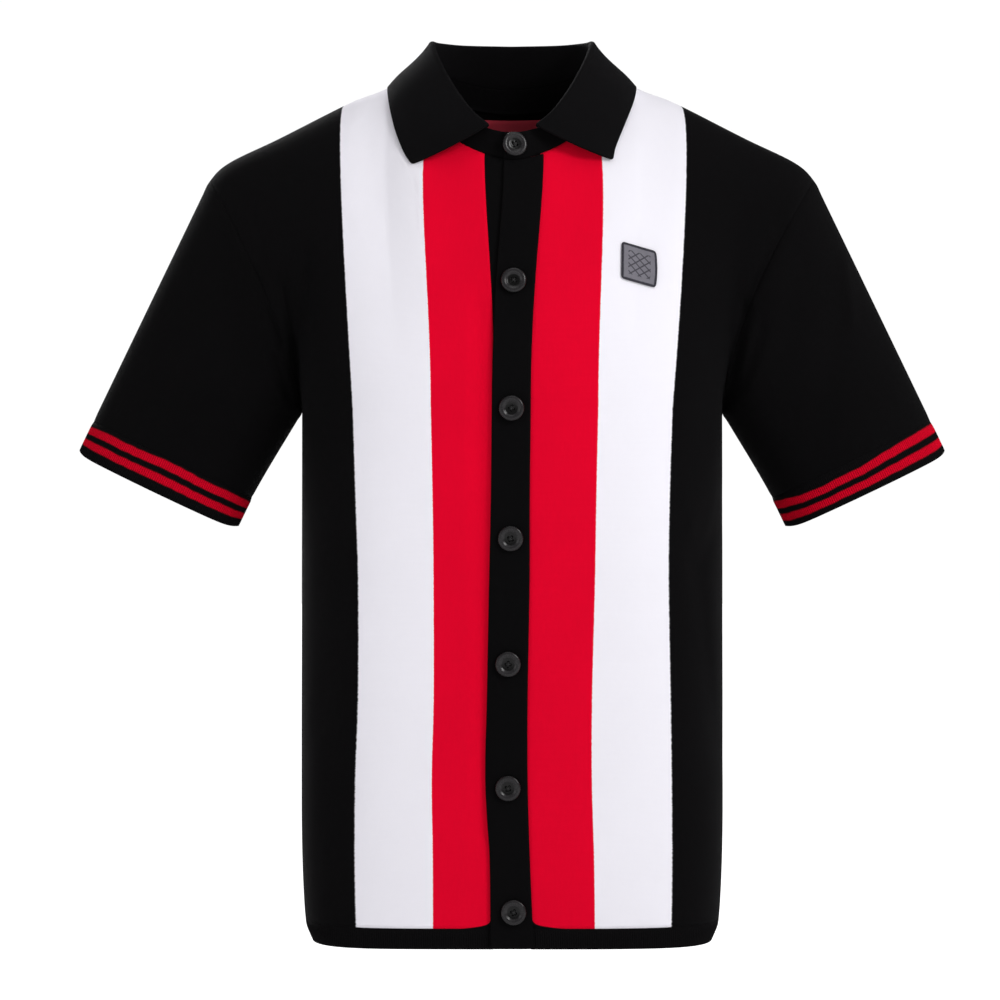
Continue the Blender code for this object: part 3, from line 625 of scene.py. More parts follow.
def top_of_column(side, back, column):
    """Where a column ends, at the neck seam or the shoulder seam, and its pull there."""
    inward = -1 if back else 1
    over = Vector((0.0, inward * OVER_SHOULDER, 0.0))
    corner = Vector((-side * CORNER_PULL.x, inward * CORNER_PULL.y, CORNER_PULL.z))
    corner_column = 1 if back else NECK_CORNER
    if column <= corner_column:
        if back:
            turn = mix(math.pi, math.pi / 2, column)
            up = BACK_NECK_PULL
        else:
            start, end = red_turns(side)
            past = max(0.0, column - 1) / (NECK_CORNER - 1)
            turn = mix(mix(start, end, min(column, 1)), math.pi / 2, past)
            up = FRONT_NECK_PULL
        return neck_point(side, turn), up.lerp(corner, (column / corner_column) ** CORNER_PULL_POWER)
    if column <= 2:
        share = (column - corner_column) / (2 - corner_column)
        return shoulder_point(side, mix(NECK_HALF, SHOULDER_WHITE_X, share)), corner.lerp(over, share)
    return shoulder_point(side, mix(SHOULDER_WHITE_X, SHOULDER_TIP_X, column - 2)), over


def rise_of(base, top, pull, up):
    """A column of the body above the underarm, from its section to the seam at its top."""
    return curve(base, BASE_PULL, top, pull, up)


def folded(point):
    """The point with the folds pressed in, which fade out towards the sides."""
    inward = 1 if point.y < 0 else -1
    fade = min(1.0, abs(point.y) / FOLD_FADE_Y)
    here = Vector((abs(point.x), point.z))
    depth = 0.0
    for fold in FOLDS:
        if fold.side * point.x > 0 and fold.back == (point.y > 0):
            top = Vector((fold.x_top, fold.z_top))
            along = Vector((fold.x_low, fold.z_low)) - top
            share = max(0.0, min(1.0, (here - top).dot(along) / along.length_squared))
            away = (here - top - along * share).length / fold.width
            depth += fold.depth * math.exp(-away * away)
    return Vector((point.x, point.y + inward * fade * depth, point.z))


def body_point(side, back, column, level):
    """A point of the body's outer face.

    Columns: 0 placket or back centre, 1 red to white or back neck corner, 2 white to black,
    3 side seam and armhole. Levels: 0 hem, 1 underarm, 2 neck seam and shoulder seam.
    """
    section = row_at(BODY, mix(HEM_Z, UNDERARM_Z, min(level, 1)))
    stops = column_stops(side, back, section)
    i = min(int(column), 2)
    base = ring_point(section, mix(stops[i], stops[i + 1], column - i), back)
    base.x *= side
    if level <= 1:
        return folded(base)
    up = level - 1
    point = rise_of(base, *top_of_column(side, back, column), up)
    point.x += side * WHITE_BOW[side] * 4 * up * (1 - up) * max(0.0, 1 - abs(column - 2))
    if column > 2:
        side_base = Vector((side * section.half_width, 0.0, section.z))
        straight = rise_of(side_base, *top_of_column(side, back, 3), up)
        point += (armhole_point(side, back, up) - straight) * (column - 2) ** SIDE_BLEND_POWER
    return folded(point)


def centre_point(x_low, x_top, level):
    """A point of the front near its centre line: x_low(z) out below the underarm, x_top at the neck."""
    z = mix(HEM_Z, UNDERARM_Z, min(level, 1))
    section = row_at(BODY, z)
    base = ring_point(section, ring_angle(section, x_low(z)), False)
    if level <= 1:
        return base
    top = neck_point(1, neck_turn(x_top))
    return rise_of(base, top, FRONT_NECK_PULL, level - 1)


def sleeve_point(side, turn, along):
    """A point of a sleeve: turn 0 is the underarm, a quarter the front, a half the top."""
    angle = 2 * math.pi * turn
    end = CUFF_MIDDLE - CUFF_OUT * CUFF_HALF_WIDTH * math.cos(angle)
    end -= Vector((0.0, CUFF_HALF_DEPTH * math.sin(angle), 0.0))
    start_of_cuff = end - CUFF_DOWN * CUFF_LENGTH
    if along > 1:
        point = start_of_cuff.lerp(end, along - 1)
    else:
        up = 2 * turn if turn <= 0.5 else 2 - 2 * turn
        start = armhole_point(side, turn > 0.5, up)
        start.x *= side
        chord = start_of_cuff - start
        point = curve(start, chord, start_of_cuff, chord.lerp(CUFF_DOWN * chord.length, 0.5), along)
    return folded(Vector((side * point.x, point.y, point.z)))


def stand_point(side, turn, height):
    """A point of the neckband's outer face, height 0 to 1 from the neck seam to its top."""
    stand = row_at(STAND, math.degrees(turn))
    seam = neck_point(side, turn)
    inward = Vector((-side * math.sin(turn), math.cos(turn), 0.0))
    return seam + (inward * stand.lean + Vector((0.0, 0.0, stand.rise))) * height


def grid(levels, columns, point):
    return [[point(level, column) for column in columns] for level in levels]


def spread(start, end, steps):
    return [mix(start, end, i / steps) for i in range(steps + 1)]


def faces_of(rows, closed):
    """The grid's quads, as index pairs, turned so that they face out."""
    across = len(rows[0])
    for i in range(len(rows) - 1):
        for j in range(across if closed else across - 1):
            k = (j + 1) % across
            yield (i, j), (i, k), (i + 1, k), (i + 1, j)


def key_of(point):
    """The point in whole micrometres, by which points at the same place find each other."""
    return tuple(round(value * 1e6) for value in point)


def skin_offsets(pieces):
    """For each point of each piece, the step out that gives every face that meets there one wall."""
    met = {}
    for rows, closed in pieces.values():
        for quad in faces_of(rows, closed):
            a, b, c, d = (rows[i][j] for i, j in quad)
            normal = (c - a).cross(d - b)
            for point in (a, b, c, d):
                met.setdefault(key_of(point), []).append(normal)
    steps = {}
    for key, normals in met.items():
        shared = sum(normals, Vector()).normalized()
        tightest = sum(shared.dot(normal.normalized()) for normal in normals) / len(normals)
        steps[key] = shared * min(1 / max(tightest, 0.01), LONGEST_MITRE)
    return {name: [[steps[key_of(p)] for p in row] for row in rows] for name, (rows, _) in pieces.items()}


def steps_out(rows, closed):
    return skin_offsets({"piece": (rows, closed)})["piece"]


def lower_levels():
    """The body's levels from the top of the hem band to the underarm and on to the top."""
    return spread(HEM_BAND_LEVEL, 1, LOWER_ROWS) + spread(1, 2, UPPER_ROWS)[1:]


def hem_levels():
    return spread(0, HEM_BAND_LEVEL, BAND_ROWS)


def front_columns():
    """The columns of each of a front's panels, from the placket out."""
    white = spread(1, NECK_CORNER, WHITE_NECK_COLUMNS) + spread(NECK_CORNER, 2, SHOULDER_COLUMNS)[1:]
    return {"red": spread(0, 1, RED_COLUMNS), "white": white, "side": spread(2, 3, SIDE_COLUMNS)}


def front_stops():
    """The columns of a whole front."""
    red, white, side = front_columns().values()
    return red + white[1:] + side[1:]


def turned_out(rows, side):
    """A right-hand piece's columns run the other way, so that its faces turn out as well."""
    return rows if side > 0 else [list(reversed(row)) for row in rows]


def under_placket_point(level, column):
    """column 0 is the edge sewn to the right front, 1 its own edge under the other placket."""
    def x_low(z):
        return mix(LAP - row_at(LINES, z).r_red, UNDER_END_X, column)

    return centre_point(x_low, mix(-RIGHT_RED_TOP_X, UNDER_END_TOP_X, column), level)


def outer_placket_point(level, column):
    """column 0 is its free edge, 1 the edge sewn over the left front."""
    def x_low(z):
        lines = row_at(LINES, z)
        return mix(-lines.r_red, lines.l_red, column)

    return centre_point(x_low, mix(-OUTER_FREE_TOP_X, LEFT_RED_TOP_X + LAP, column), level)


def skin():
    """The outer faces of all that is sewn edge to edge, as name: (rows, closed)."""
    pieces = {}
    body = lower_levels()
    hem = hem_levels()
    for side, name in SIDES:
        parts = [(f"front_{name}_{panel}", body, stops) for panel, stops in front_columns().items()]
        for piece, levels, stops in parts + [(f"hem_front_{name}", hem, front_stops())]:
            rows = grid(levels, stops, lambda level, c: body_point(side, False, c, level))
            pieces[piece] = (turned_out(rows, side), False)
    half = spread(0, 1, NECK_BACK_COLUMNS) + spread(1, 2, SHOULDER_COLUMNS)[1:]
    half += spread(2, 3, SIDE_COLUMNS)[1:]
    across = [(1, c) for c in reversed(half)] + [(-1, c) for c in half[1:]]
    for name, levels in (("back", body), ("hem_back", hem)):
        pieces[name] = (grid(levels, across, lambda level, at: body_point(at[0], True, at[1], level)), False)
    around = [i / (2 * UPPER_ROWS) for i in range(2 * UPPER_ROWS)]
    for side, name in SIDES:
        order = around if side > 0 else [around[0]] + list(reversed(around[1:]))
        for piece, lengths in (("sleeve", spread(0, 1, SLEEVE_ROWS)), ("cuff", spread(1, 2, CUFF_ROWS))):
            rows = grid(lengths, order, lambda along, turn: sleeve_point(side, turn, along))
            pieces[f"{piece}_{name}"] = (list(reversed(rows)), True)
    rows = grid(hem[:-1] + body, spread(0, 1, PLACKET_COLUMNS), under_placket_point)
    pieces["placket_under"] = (rows, False)
    pieces["neckband"] = (neckband_rows(), False)
    return pieces


def front_turns(side):
    """The turns of a front's columns along the neck seam, up to the neck corner."""
    start, end = red_turns(side)
    return spread(start, end, RED_COLUMNS) + spread(end, math.pi / 2, WHITE_NECK_COLUMNS)[1:]


def back_turns():
    return spread(math.pi / 2, math.pi, NECK_BACK_COLUMNS)[1:]


def neckband_rows():
    """From its end under the overlap, round the back, to its end over the front."""
    start = [(1, neck_turn(UNDER_END_TOP_X)), (1, 0.0), (-1, neck_turn(RIGHT_RED_TOP_X / 2))]
    right = [(-1, turn) for turn in front_turns(-1) + back_turns()]
    left = [(1, turn) for turn in reversed(front_turns(1) + back_turns()[:-1])]
    lapped = [(1, neck_turn(x)) for x in NECKBAND_LAP_XS] + [(-1, neck_turn(OUTER_FREE_TOP_X))]
    rows = []
    for height in spread(0, 1, BAND_ROWS):
        row = [stand_point(side, turn, height) for side, turn in start + right + left]
        row += [stand_point(side, turn, height) + Vector((0.0, -LAP_HEIGHT, 0.0)) for side, turn in lapped]
        rows.append(list(reversed(row)))
    return rows


def collar_rows():
    """Rows from the neckband's top over the fold to the free edge, across from one front end to the other."""
    first = math.radians(COLLAR[0].turn)
    right = [first] + [turn for turn in front_turns(-1) + back_turns() if turn > first]
    left = [first] + [turn for turn in front_turns(1) + back_turns()[:-1] if turn > first]
    across = [(-1, turn) for turn in right] + [(1, turn) for turn in reversed(left)]
    return [list(reversed(row)) for row in zip(*(collar_section(side, turn) for side, turn in across))]


def collar_section(side, turn):
    station = row_at(COLLAR, math.degrees(turn))
    foot = stand_point(side, turn, 1) + Vector((0.0, 0.0, SEAM_GAP))
    fold = Vector((side * station.fold_x, station.fold_y, station.fold_z))
    edge = Vector((side * station.edge_x, station.edge_y, station.edge_z))
    if side > 0:
        edge += Vector((-station.left_in, 0.0, station.left_up))
    out = Vector((side * math.sin(turn), -math.cos(turn), 0.0))
    points = [foot, foot.lerp(fold - out * 2 * FOLD_RADIUS, 0.5)]
    for degrees in (180, 135, 90, 45, 0):
        angle = math.radians(degrees)
        turned = out * math.cos(angle) + Vector((0, 0, math.sin(angle)))
        points.append(fold - out * FOLD_RADIUS + turned * FOLD_RADIUS)
    for t in (0.2, 0.4, 0.6, 0.8, 1.0):
        bow = out * station.bulge - Vector((0.0, 0.0, station.sag))
        points.append(fold.lerp(edge, t) + bow * 4 * t * (1 - t))
    return points


def band_face(place):
    """The outer face of the band that carries a button: a point there and the way out."""
    if place.z > neck_point(1, 0).z:
        height = (place.z - neck_point(1, 0).z) / STAND[0].rise
        point = stand_point(1, neck_turn(place.x), height)
        return point + Vector((0.0, -LAP_HEIGHT, 0.0)), Vector((0.0, -1.0, 0.1)).normalized()

    def at(x, level):
        return centre_point(lambda z: x, x, level)

    low, high = 0.0, 2.0
    for _ in range(SEAT_ROUNDS):
        middle = (low + high) / 2
        if at(place.x, middle).z < place.z:
            low = middle
        else:
            high = middle
    point = at(place.x, low)
    across = at(place.x + NEAR_ACROSS, low) - at(place.x - NEAR_ACROSS, low)
    upward = at(place.x, low + NEAR_UP) - at(place.x, low - NEAR_UP)
    out = across.cross(upward).normalized()
    return point + out * LAP_HEIGHT, out


def front_place(side, x, z):
    """The column and level at which a front is this far out and this high."""
    column, level = 1.5, 1.5
    for _ in range(PLACE_ROUNDS):
        point = body_point(side, False, column, level)
        column += (x - abs(point.x)) * COLUMNS_A_METRE
        level += (z - point.z) * LEVELS_A_METRE
    return column, level


def crease_depth(point, creases):
    """How far the small creases take this point in; each has a slight rise along both sides."""
    depth = 0.0
    for crease in creases:
        start = Vector((crease.x_from, crease.z_from))
        run = Vector((crease.x_to, crease.z_to)) - start
        here = Vector((point.x, point.z)) - start
        share = max(0.0, min(here.dot(run) / run.length_squared, 1.0))
        apart = (here - run * share).length_squared / crease.width ** 2
        if apart < CREASE_REACH:
            depth += crease.depth * (1 - apart) * math.exp(-apart)
    return depth


def waved(point):
    """The slight unevenness of worn knitted cloth, the same at every seam because it hangs on place."""
    fade = min(1.0, abs(point.y) / FOLD_FADE_Y)
    swell = noise.noise(point * LONG_WAVES)
    swell += SHORT_WAVES_SHARE * noise.noise(point * SHORT_WAVES + SHORT_WAVES_START)
    if point.y < 0:
        move = CLOTH_WAVE * swell + crease_depth(point, FRONT_CREASES)
    else:
        move = CLOTH_WAVE * swell - crease_depth(point, BACK_CREASES)
    low = max(0.0, min((HEM_ROUND_TOP - point.z) / (HEM_ROUND_TOP - HEM_Z), 1.0)) ** 2
    inward = HEM_ROUND * low * min(1.0, abs(point.x) / HEM_HALF_WIDTH) ** HEM_ROUND_POWER
    return point + Vector((-math.copysign(inward, point.x), fade * move, inward * HEM_ROUND_LIFT))


def seam_lines():
    """Each sewn seam, with points along it."""
    lines = []
    for side, _ in SIDES:
        seams = (
            (ARMHOLE_SEAM, lambda t: armhole_point(side, False, t)),
            (ARMHOLE_SEAM, lambda t: armhole_point(side, True, t)),
            (FLAT_SEAM, lambda t: shoulder_point(side, mix(NECK_HALF, SHOULDER_TIP_X, t))),
            (FLAT_SEAM, lambda t: body_point(side, False, 3, t)),
            (NECK_SEAM, lambda t: neck_point(side, math.pi * t)),
            (FLAT_SEAM, lambda t: sleeve_point(side, 0, t)),
            (RIB_SEAM, lambda t: sleeve_point(side, t, 1)),
            (RIB_SEAM, lambda t: body_point(side, False, 3 * t, HEM_BAND_LEVEL)),
            (RIB_SEAM, lambda t: body_point(side, True, 3 * t, HEM_BAND_LEVEL)),
        )
        lines += [(seam, [point(t) for t in spread(0, 1, SEAM_STOPS)]) for seam, point in seams]
    return lines


def sewn(pieces):
    """The pieces with their seams drawn in: a groove, and the cloth a little proud beside it."""
    trees = []
    for seam, line in seam_lines():
        tree = kdtree.KDTree(len(line))
        for index, point in enumerate(line):
            tree.insert(point, index)
        tree.balance()
        trees.append((seam, tree))
    steps = skin_offsets(pieces)
    made = {}
    for name, (rows, closed) in pieces.items():
        moved = []
        for row, normals in zip(rows, steps[name]):
            line = []
            for point, normal in zip(row, normals):
                lift = 0.0
                for seam, tree in trees:
                    away = tree.find(point)[2] / seam.width
                    if away < SEAM_REACH:
                        lift += seam.proud * math.exp(-((away - SEAM_RISE_AT) ** 2))
                        lift -= seam.depth * math.exp(-away * away)
                line.append(point + normal * lift)
            moved.append(line)
        made[name] = (moved, closed)
    return made


def tucked(rows, closed, end):
    """The grid with one more row at this end, turned in under the cloth that it is sewn to."""
    steps = steps_out(rows, closed)
    last, beside = (len(rows) - 1, len(rows) - 2) if end else (0, 1)
    row = []
    for point, before, normal in zip(rows[last], rows[beside], steps[last]):
        row.append(point + (point - before).normalized() * TUCK_ON - normal * TUCK_IN)
    return rows + [row] if end else [row] + rows


def recut(rows, closed):
    """The grid with its columns spread evenly, so that RIB_STEPS of them make one rib."""
    middle = rows[len(rows) // 2]
    width = len(middle)
    loop = middle + middle[:1] if closed else middle
    run = [0.0]
    for a, b in zip(loop, loop[1:]):
        run.append(run[-1] + (b - a).length)
    count = round(run[-1] / RIB_PITCH) * RIB_STEPS
    made = [[] for _ in rows]
    i = 0
    for k in range(count if closed else count + 1):
        at = run[-1] * k / count
        while i < len(run) - 2 and run[i + 1] < at:
            i += 1
        t = (at - run[i]) / (run[i + 1] - run[i])
        for row, line in zip(rows, made):
            ends = (i - 1, i, i + 1, i + 2)
            a, b, c, d = (row[j % width] if closed else row[max(0, min(j, width - 1))] for j in ends)
            line.append(curve(b, (c - a) / 2, c, (d - b) / 2, t))
    return made


def ribbed(rows, closed):
    """The grid, from its open edge in row 0 to its seam, with ribs that rise away from the seam."""
    rows = recut(rows, closed)
    last = len(rows) - 1
    ridges = [-math.cos(2 * math.pi * k / RIB_STEPS) for k in range(len(rows[0]))]
    made = []
    for i, (row, normals) in enumerate(zip(rows, steps_out(rows, closed))):
        height = RIB_HEIGHT * min(1.0, (last - i) / RIB_FADE_ROWS) * (1.0 if i else RIB_OPEN_EDGE)
        made.append([p + n * (height * ridge - RIB_CLOTH / 2) for p, n, ridge in zip(row, normals, ridges)])
    return made


def arc_lengths(rows):
    """Across and along each grid point, in metres of cloth from the grid's first point."""
    across = []
    for row in rows:
        run = [0.0]
        for a, b in zip(row, row[1:]):
            run.append(run[-1] + (b - a).length)
        across.append(run)
    along = [[0.0] * len(rows[0])]
    for low, high in zip(rows, rows[1:]):
        along.append([v + (b - a).length for v, a, b in zip(along[-1], low, high)])
    return across, along


def in_scene(name, data):
    made = bpy.data.objects.new(name, data)
    bpy.context.scene.collection.objects.link(made)
    return made


def lay_cloth(name, rows, replaced, look, closed=False, masks=None, zero=0, column_step=0.0):
    """A fine sheet on the grid, its UV map in metres with wales upright, standing for these nodes.

    Its columns lie column_step apart on the map, where that is given.
    """
    height = len(rows)
    width = len(rows[0])
    looped = [row + row[:1] for row in rows] if closed else rows
    across, along = arc_lengths(looped)
    if column_step:
        across = [[column_step * j for j in range(width + 1)]] * height
    points = [p for row in rows for p in row]
    faces = []
    uvs = []
    for quad in faces_of(rows, closed):
        faces.append([i * width + j for i, j in quad])
        for i, j in quad:
            k = width if closed and j == 0 and quad[0][1] == width - 1 else j
            uvs.append((across[i][k] - across[i][zero], along[i][k]))
    mesh = bpy.data.meshes.new(name)
    mesh.from_pydata(points, [], faces)
    layer = mesh.uv_layers.new(name="cloth")
    for loop, uv in zip(layer.data, uvs):
        loop.uv = uv
    for mask, values in (masks or {}).items():
        held = mesh.attributes.new(mask, "FLOAT", "POINT")
        held.data.foreach_set("value", [v for row in values for v in row])
    mesh.materials.append(look)
    made = in_scene(name, mesh)
    mesh.shade_smooth()
    if replaced:
        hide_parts(*replaced)
    return made


def smoothed(made, corners="PRESERVE_CORNERS"):
    subdivided = made.modifiers.new("finer", "SUBSURF")
    subdivided.boundary_smooth = corners
    subdivided.levels = subdivided.render_levels = 1
    return made


def bevelled(made, name, width, degrees):
    edge = made.modifiers.new(name, "BEVEL")
    edge.width = width
    edge.segments = 2
    edge.limit_method = "ANGLE"
    edge.angle_limit = math.radians(degrees)


def walled(made, wall, rounded=0.0, offset=-1):
    """Gives the sheet its thickness, inwards or with offset 0 to both sides, and rounds its edges off."""
    solid = made.modifiers.new("wall", "SOLIDIFY")
    solid.thickness = wall
    solid.offset = offset
    if rounded:
        bevelled(made, "rounded edge", rounded, EDGE_TURN)
    return made


def group_nodes(name, takes, gives):
    """An empty shader group with these inputs, as name: default, and these values as its outputs."""
    group = bpy.data.node_groups.new(name, "ShaderNodeTree")
    for label, value in takes.items():
        kind = "NodeSocketVector" if value is None else "NodeSocketFloat"
        made = group.interface.new_socket(name=label, in_out="INPUT", socket_type=kind)
        if value is not None:
            made.default_value = value
    for label in gives:
        group.interface.new_socket(name=label, in_out="OUTPUT", socket_type="NodeSocketFloat")
    given = group.nodes.new("NodeGroupInput").outputs
    return group, Wiring(group), given, group.nodes.new("NodeGroupOutput").inputs


class Wiring:
    """Adds nodes to a tree, taking values or other nodes' sockets for their inputs."""

    def __init__(self, tree):
        self.tree = tree

    def node(self, kind):
        return self.tree.nodes.new(f"ShaderNode{kind}")

    def feed(self, socket, value):
        if isinstance(value, bpy.types.NodeSocket):
            self.tree.links.new(value, socket)
        elif value is not None:
            socket.default_value = value

    def feed_all(self, node, given):
        for label, value in given.items():
            self.feed(node.inputs[label.replace("_", " ")], value)

    def math(self, operation, a, b=None, clamped=False):
        node = self.node("Math")
        node.operation = operation
        node.use_clamp = clamped
        self.feed(node.inputs[0], a)
        self.feed(node.inputs[1], b)
        return node.outputs[0]

    def plus(self, a, b):
        return self.math("ADD", a, b)

    def less(self, a, b):
        return self.math("SUBTRACT", a, b)

    def times(self, a, b):
        return self.math("MULTIPLY", a, b)

    def wave(self, value, length=1.0):
        """A sine wave of this length."""
        return self.math("SINE", self.times(value, 2 * math.pi / length))

    def between(self, low, high, value):
        """0 below low, 1 above high, and smooth between them."""
        node = self.node("MapRange")
        node.interpolation_type = "SMOOTHSTEP"
        self.feed_all(node, {"From Min": low, "From Max": high, "Value": value})
        return node.outputs["Result"]

    def blend(self, share, a, b):
        node = self.node("Mix")
        node.data_type = "RGBA"
        self.feed_all(node, {"Factor": share, "A": a, "B": b})
        return node.outputs["Result"]

    def shaded(self, colour, low, shade):
        """The colour, darker where the shade value is small."""
        dark = (*(channel * low for channel in colour), 1.0)
        return self.blend(shade, dark, (*colour, 1.0))

    def split(self, vector):
        node = self.node("SeparateXYZ")
        self.feed(node.inputs[0], vector)
        return node.outputs["X"], node.outputs["Y"]

    def join(self, x, y):
        node = self.node("CombineXYZ")
        self.feed_all(node, {"X": x, "Y": y})
        return node.outputs[0]

    def speckle(self, vector, scale, detail=2.0):
        node = self.node("TexNoise")
        self.feed_all(node, {"Vector": vector, "Scale": scale, "Detail": detail})
        return node.outputs["Fac"]

    def clouds(self):
        return self.speckle(self.placed(), CLOUDS)

    def uv(self):
        node = self.node("UVMap")
        node.uv_map = "cloth"
        return node.outputs["UV"]

    def attribute(self, name):
        node = self.node("Attribute")
        node.attribute_name = name
        return node.outputs["Fac"]

    def placed(self):
        return self.node("TexCoord").outputs["Object"]

    def group(self, group, **given):
        node = self.node("Group")
        node.node_tree = group
        self.feed_all(node, given)
        return node.outputs


def stitch_group():
    """Plain knit: upright wales, each a column of small V shapes, with uneven yarn and painted shade between
    the stitches.
    """
    group, w, given, gives = group_nodes(
        "knit stitches", {"Cloth": None, "Wale": WALE, "Course": COURSE}, ("Height", "Shade"))
    across, along = w.split(given["Cloth"])
    wale = w.math("DIVIDE", across, given["Wale"])
    course = w.math("DIVIDE", along, given["Course"])
    folded = w.math("PINGPONG", wale, 0.5)
    rows = w.wave(w.plus(course, w.times(folded, STITCH_SLOPE)))
    legs = w.math("ABSOLUTE", w.wave(wale))
    height = w.plus(w.times(legs, LEG_HEIGHT), w.times(rows, ROW_HEIGHT))
    yarn = w.speckle(w.join(w.math("FLOOR", wale), w.times(course, YARN_ALONG)), YARN_SCALE, 1.0)
    w.feed(gives["Height"], height)
    # Shade: painted shade, darker where the stitches' relief is low between legs and rows, and the yarn's own
    # unevenness
    w.feed(gives["Shade"], w.plus(w.times(height, 0.5), w.times(yarn, 0.5)))
    return group


def rib_group():
    """The grooves between upright ribs, which paint shade into them, and the small V shapes of the stitches
    on each rib.
    """
    group, w, given, gives = group_nodes(
        "rib", {"Cloth": None, "Rib": RIB_PITCH, "Course": RIB_COURSE}, ("Stitches", "Groove"))
    across, along = w.split(given["Cloth"])
    rib = w.math("DIVIDE", across, given["Rib"])
    ridge = w.math("ABSOLUTE", w.math("SINE", w.times(rib, math.pi)))
    slant = w.math("PINGPONG", w.less(rib, 0.5), 0.5)
    course = w.plus(w.math("DIVIDE", along, given["Course"]), slant)
    w.feed(gives["Stitches"], w.wave(course))
    # The groove value is painted shade: 1 deep in a groove between ribs, 0 on a rib's crest
    w.feed(gives["Groove"], w.less(1.0, w.between(*RIB_GROOVE, ridge)))
    return group


def plain_look(name, **values):
    """A material with these values on its shader's own sockets: itself, its wiring and its shader."""
    made = bpy.data.materials.new(name)
    made.use_nodes = True
    shader = made.node_tree.nodes["Principled BSDF"]
    for label, value in values.items():
        shader.inputs[label.replace("_", " ")].default_value = value
    return made, Wiring(made.node_tree), shader


def fabric(name, roughness=0.95, sheen=0.0):
    return plain_look(name, Roughness=roughness, Specular_IOR_Level=0.05, Sheen_Weight=sheen,
                      Sheen_Roughness=0.45, Sheen_Tint=(0.5, 0.5, 0.55, 1.0))


def finish(w, shader, colour, height, distance):
    """Gives the shader its colour and its relief, which is this many metres high."""
    w.feed(shader.inputs["Base Color"], colour)
    bump = w.node("Bump")
    bump.inputs["Distance"].default_value = distance
    w.feed(bump.inputs["Height"], height)
    w.feed(shader.inputs["Normal"], bump.outputs["Normal"])


def black_knit_look(stitches, name="black knit", wale=WALE, course=COURSE, sheen=BLACK_SHEEN):
    made, w, shader = fabric(name, sheen=sheen)
    knit = w.group(stitches, Cloth=w.uv(), Wale=wale, Course=course)
    # The stitches' painted shade, with the yarn and the clouds, darkens the black
    shade = w.plus(w.times(knit["Shade"], STITCH_SHADE), w.times(w.clouds(), CLOUD_SHADE))
    finish(w, shader, w.shaded(BLACK_YARN, BLACK_LOW, shade), knit["Height"], KNIT_RELIEF)
    return made


def front_look(stitches):
    """One knit in three colours that change at the panels' edges, a stitch here and there out of line."""
    made, w, shader = fabric("panelled knit", sheen=0.01)
    cloth = w.uv()
    along = w.split(cloth)[1]
    knit = w.group(stitches, Cloth=cloth)
    # The stitches' painted shade, with the yarn and the clouds, darkens all three colours
    shade = w.plus(w.times(knit["Shade"], PANEL_STITCH_SHADE), w.times(w.clouds(), CLOUD_SHADE))
    jag = w.node("TexWhiteNoise")
    jag.noise_dimensions = "1D"
    w.feed(jag.inputs["W"], w.math("FLOOR", w.math("DIVIDE", along, COURSE)))
    out = w.attribute("column")
    column = w.plus(out, w.times(w.less(jag.outputs["Value"], 0.5), EDGE_SLIP))
    colour = w.shaded(RED_YARN, RED_LOW, shade)
    black = w.shaded(BLACK_YARN, PANEL_BLACK_LOW, shade)
    for edge, beyond in ((1, w.shaded(WHITE_YARN, WHITE_LOW, shade)), (2, black)):
        colour = w.blend(w.between(edge - EDGE_BLUR, edge + EDGE_BLUR, column), colour, beyond)
    # The rib's black climbs the red beside the placket
    slope = w.math("SUBTRACT", 1.0, w.times(out, CLIMB_FALL), clamped=True)
    climb = w.times(w.math("POWER", slope, CLIMB_POWER), CLIMB)
    corner = w.times(w.math("POWER", w.times(out, CLIMB_CORNER_FALL), -CLIMB_POWER), CLIMB_CORNER)
    low = w.math("MINIMUM", w.plus(climb, corner), CLIMB_LIMIT)
    above = w.between(w.less(low, STRIPE_BLUR), w.plus(low, STRIPE_BLUR), along)
    finish(w, shader, w.blend(above, black, colour), knit["Height"], PANEL_RELIEF)
    return made


def rib_look(rib, name, striped=False):
    made, w, shader = fabric(name, sheen=BLACK_SHEEN)
    cloth = w.uv()
    across = w.split(cloth)[0]
    ribs = w.group(rib, Cloth=cloth)
    # Painted shade: the colour darkens in the grooves between the ribs
    shade = w.less(1.0, w.times(ribs["Groove"], GROOVE_SHADE))
    colour = w.shaded(BLACK_YARN, RIB_LOW, shade)
    if striped:
        drift = w.speckle(w.join(w.times(across, STRIPE_DRIFT_SCALE), 0.0), 1.0, 1.0)
        height = w.plus(w.attribute("rise"), w.times(w.less(drift, 0.5), STRIPE_DRIFT))
        red = w.shaded(CUFF_RED, STRIPE_LOW, shade)
        for low, high in CUFF_STRIPES:
            inside = w.times(w.between(low - STRIPE_BLUR, low + 3 * STRIPE_BLUR, height),
                             w.between(high + STRIPE_BLUR, high - 3 * STRIPE_BLUR, height))
            colour = w.blend(inside, colour, red)
    finish(w, shader, colour, ribs["Stitches"], RIB_RELIEF)
    return made


def lifted(rows, closed, lift):
    """The grid moved out along its own normals by a height, or by one given for each column."""
    heights = lift if isinstance(lift, list) else [lift] * len(rows[0])
    return [[p + n * h for p, n, h in zip(row, normals, heights)]
            for row, normals in zip(rows, steps_out(rows, closed))]


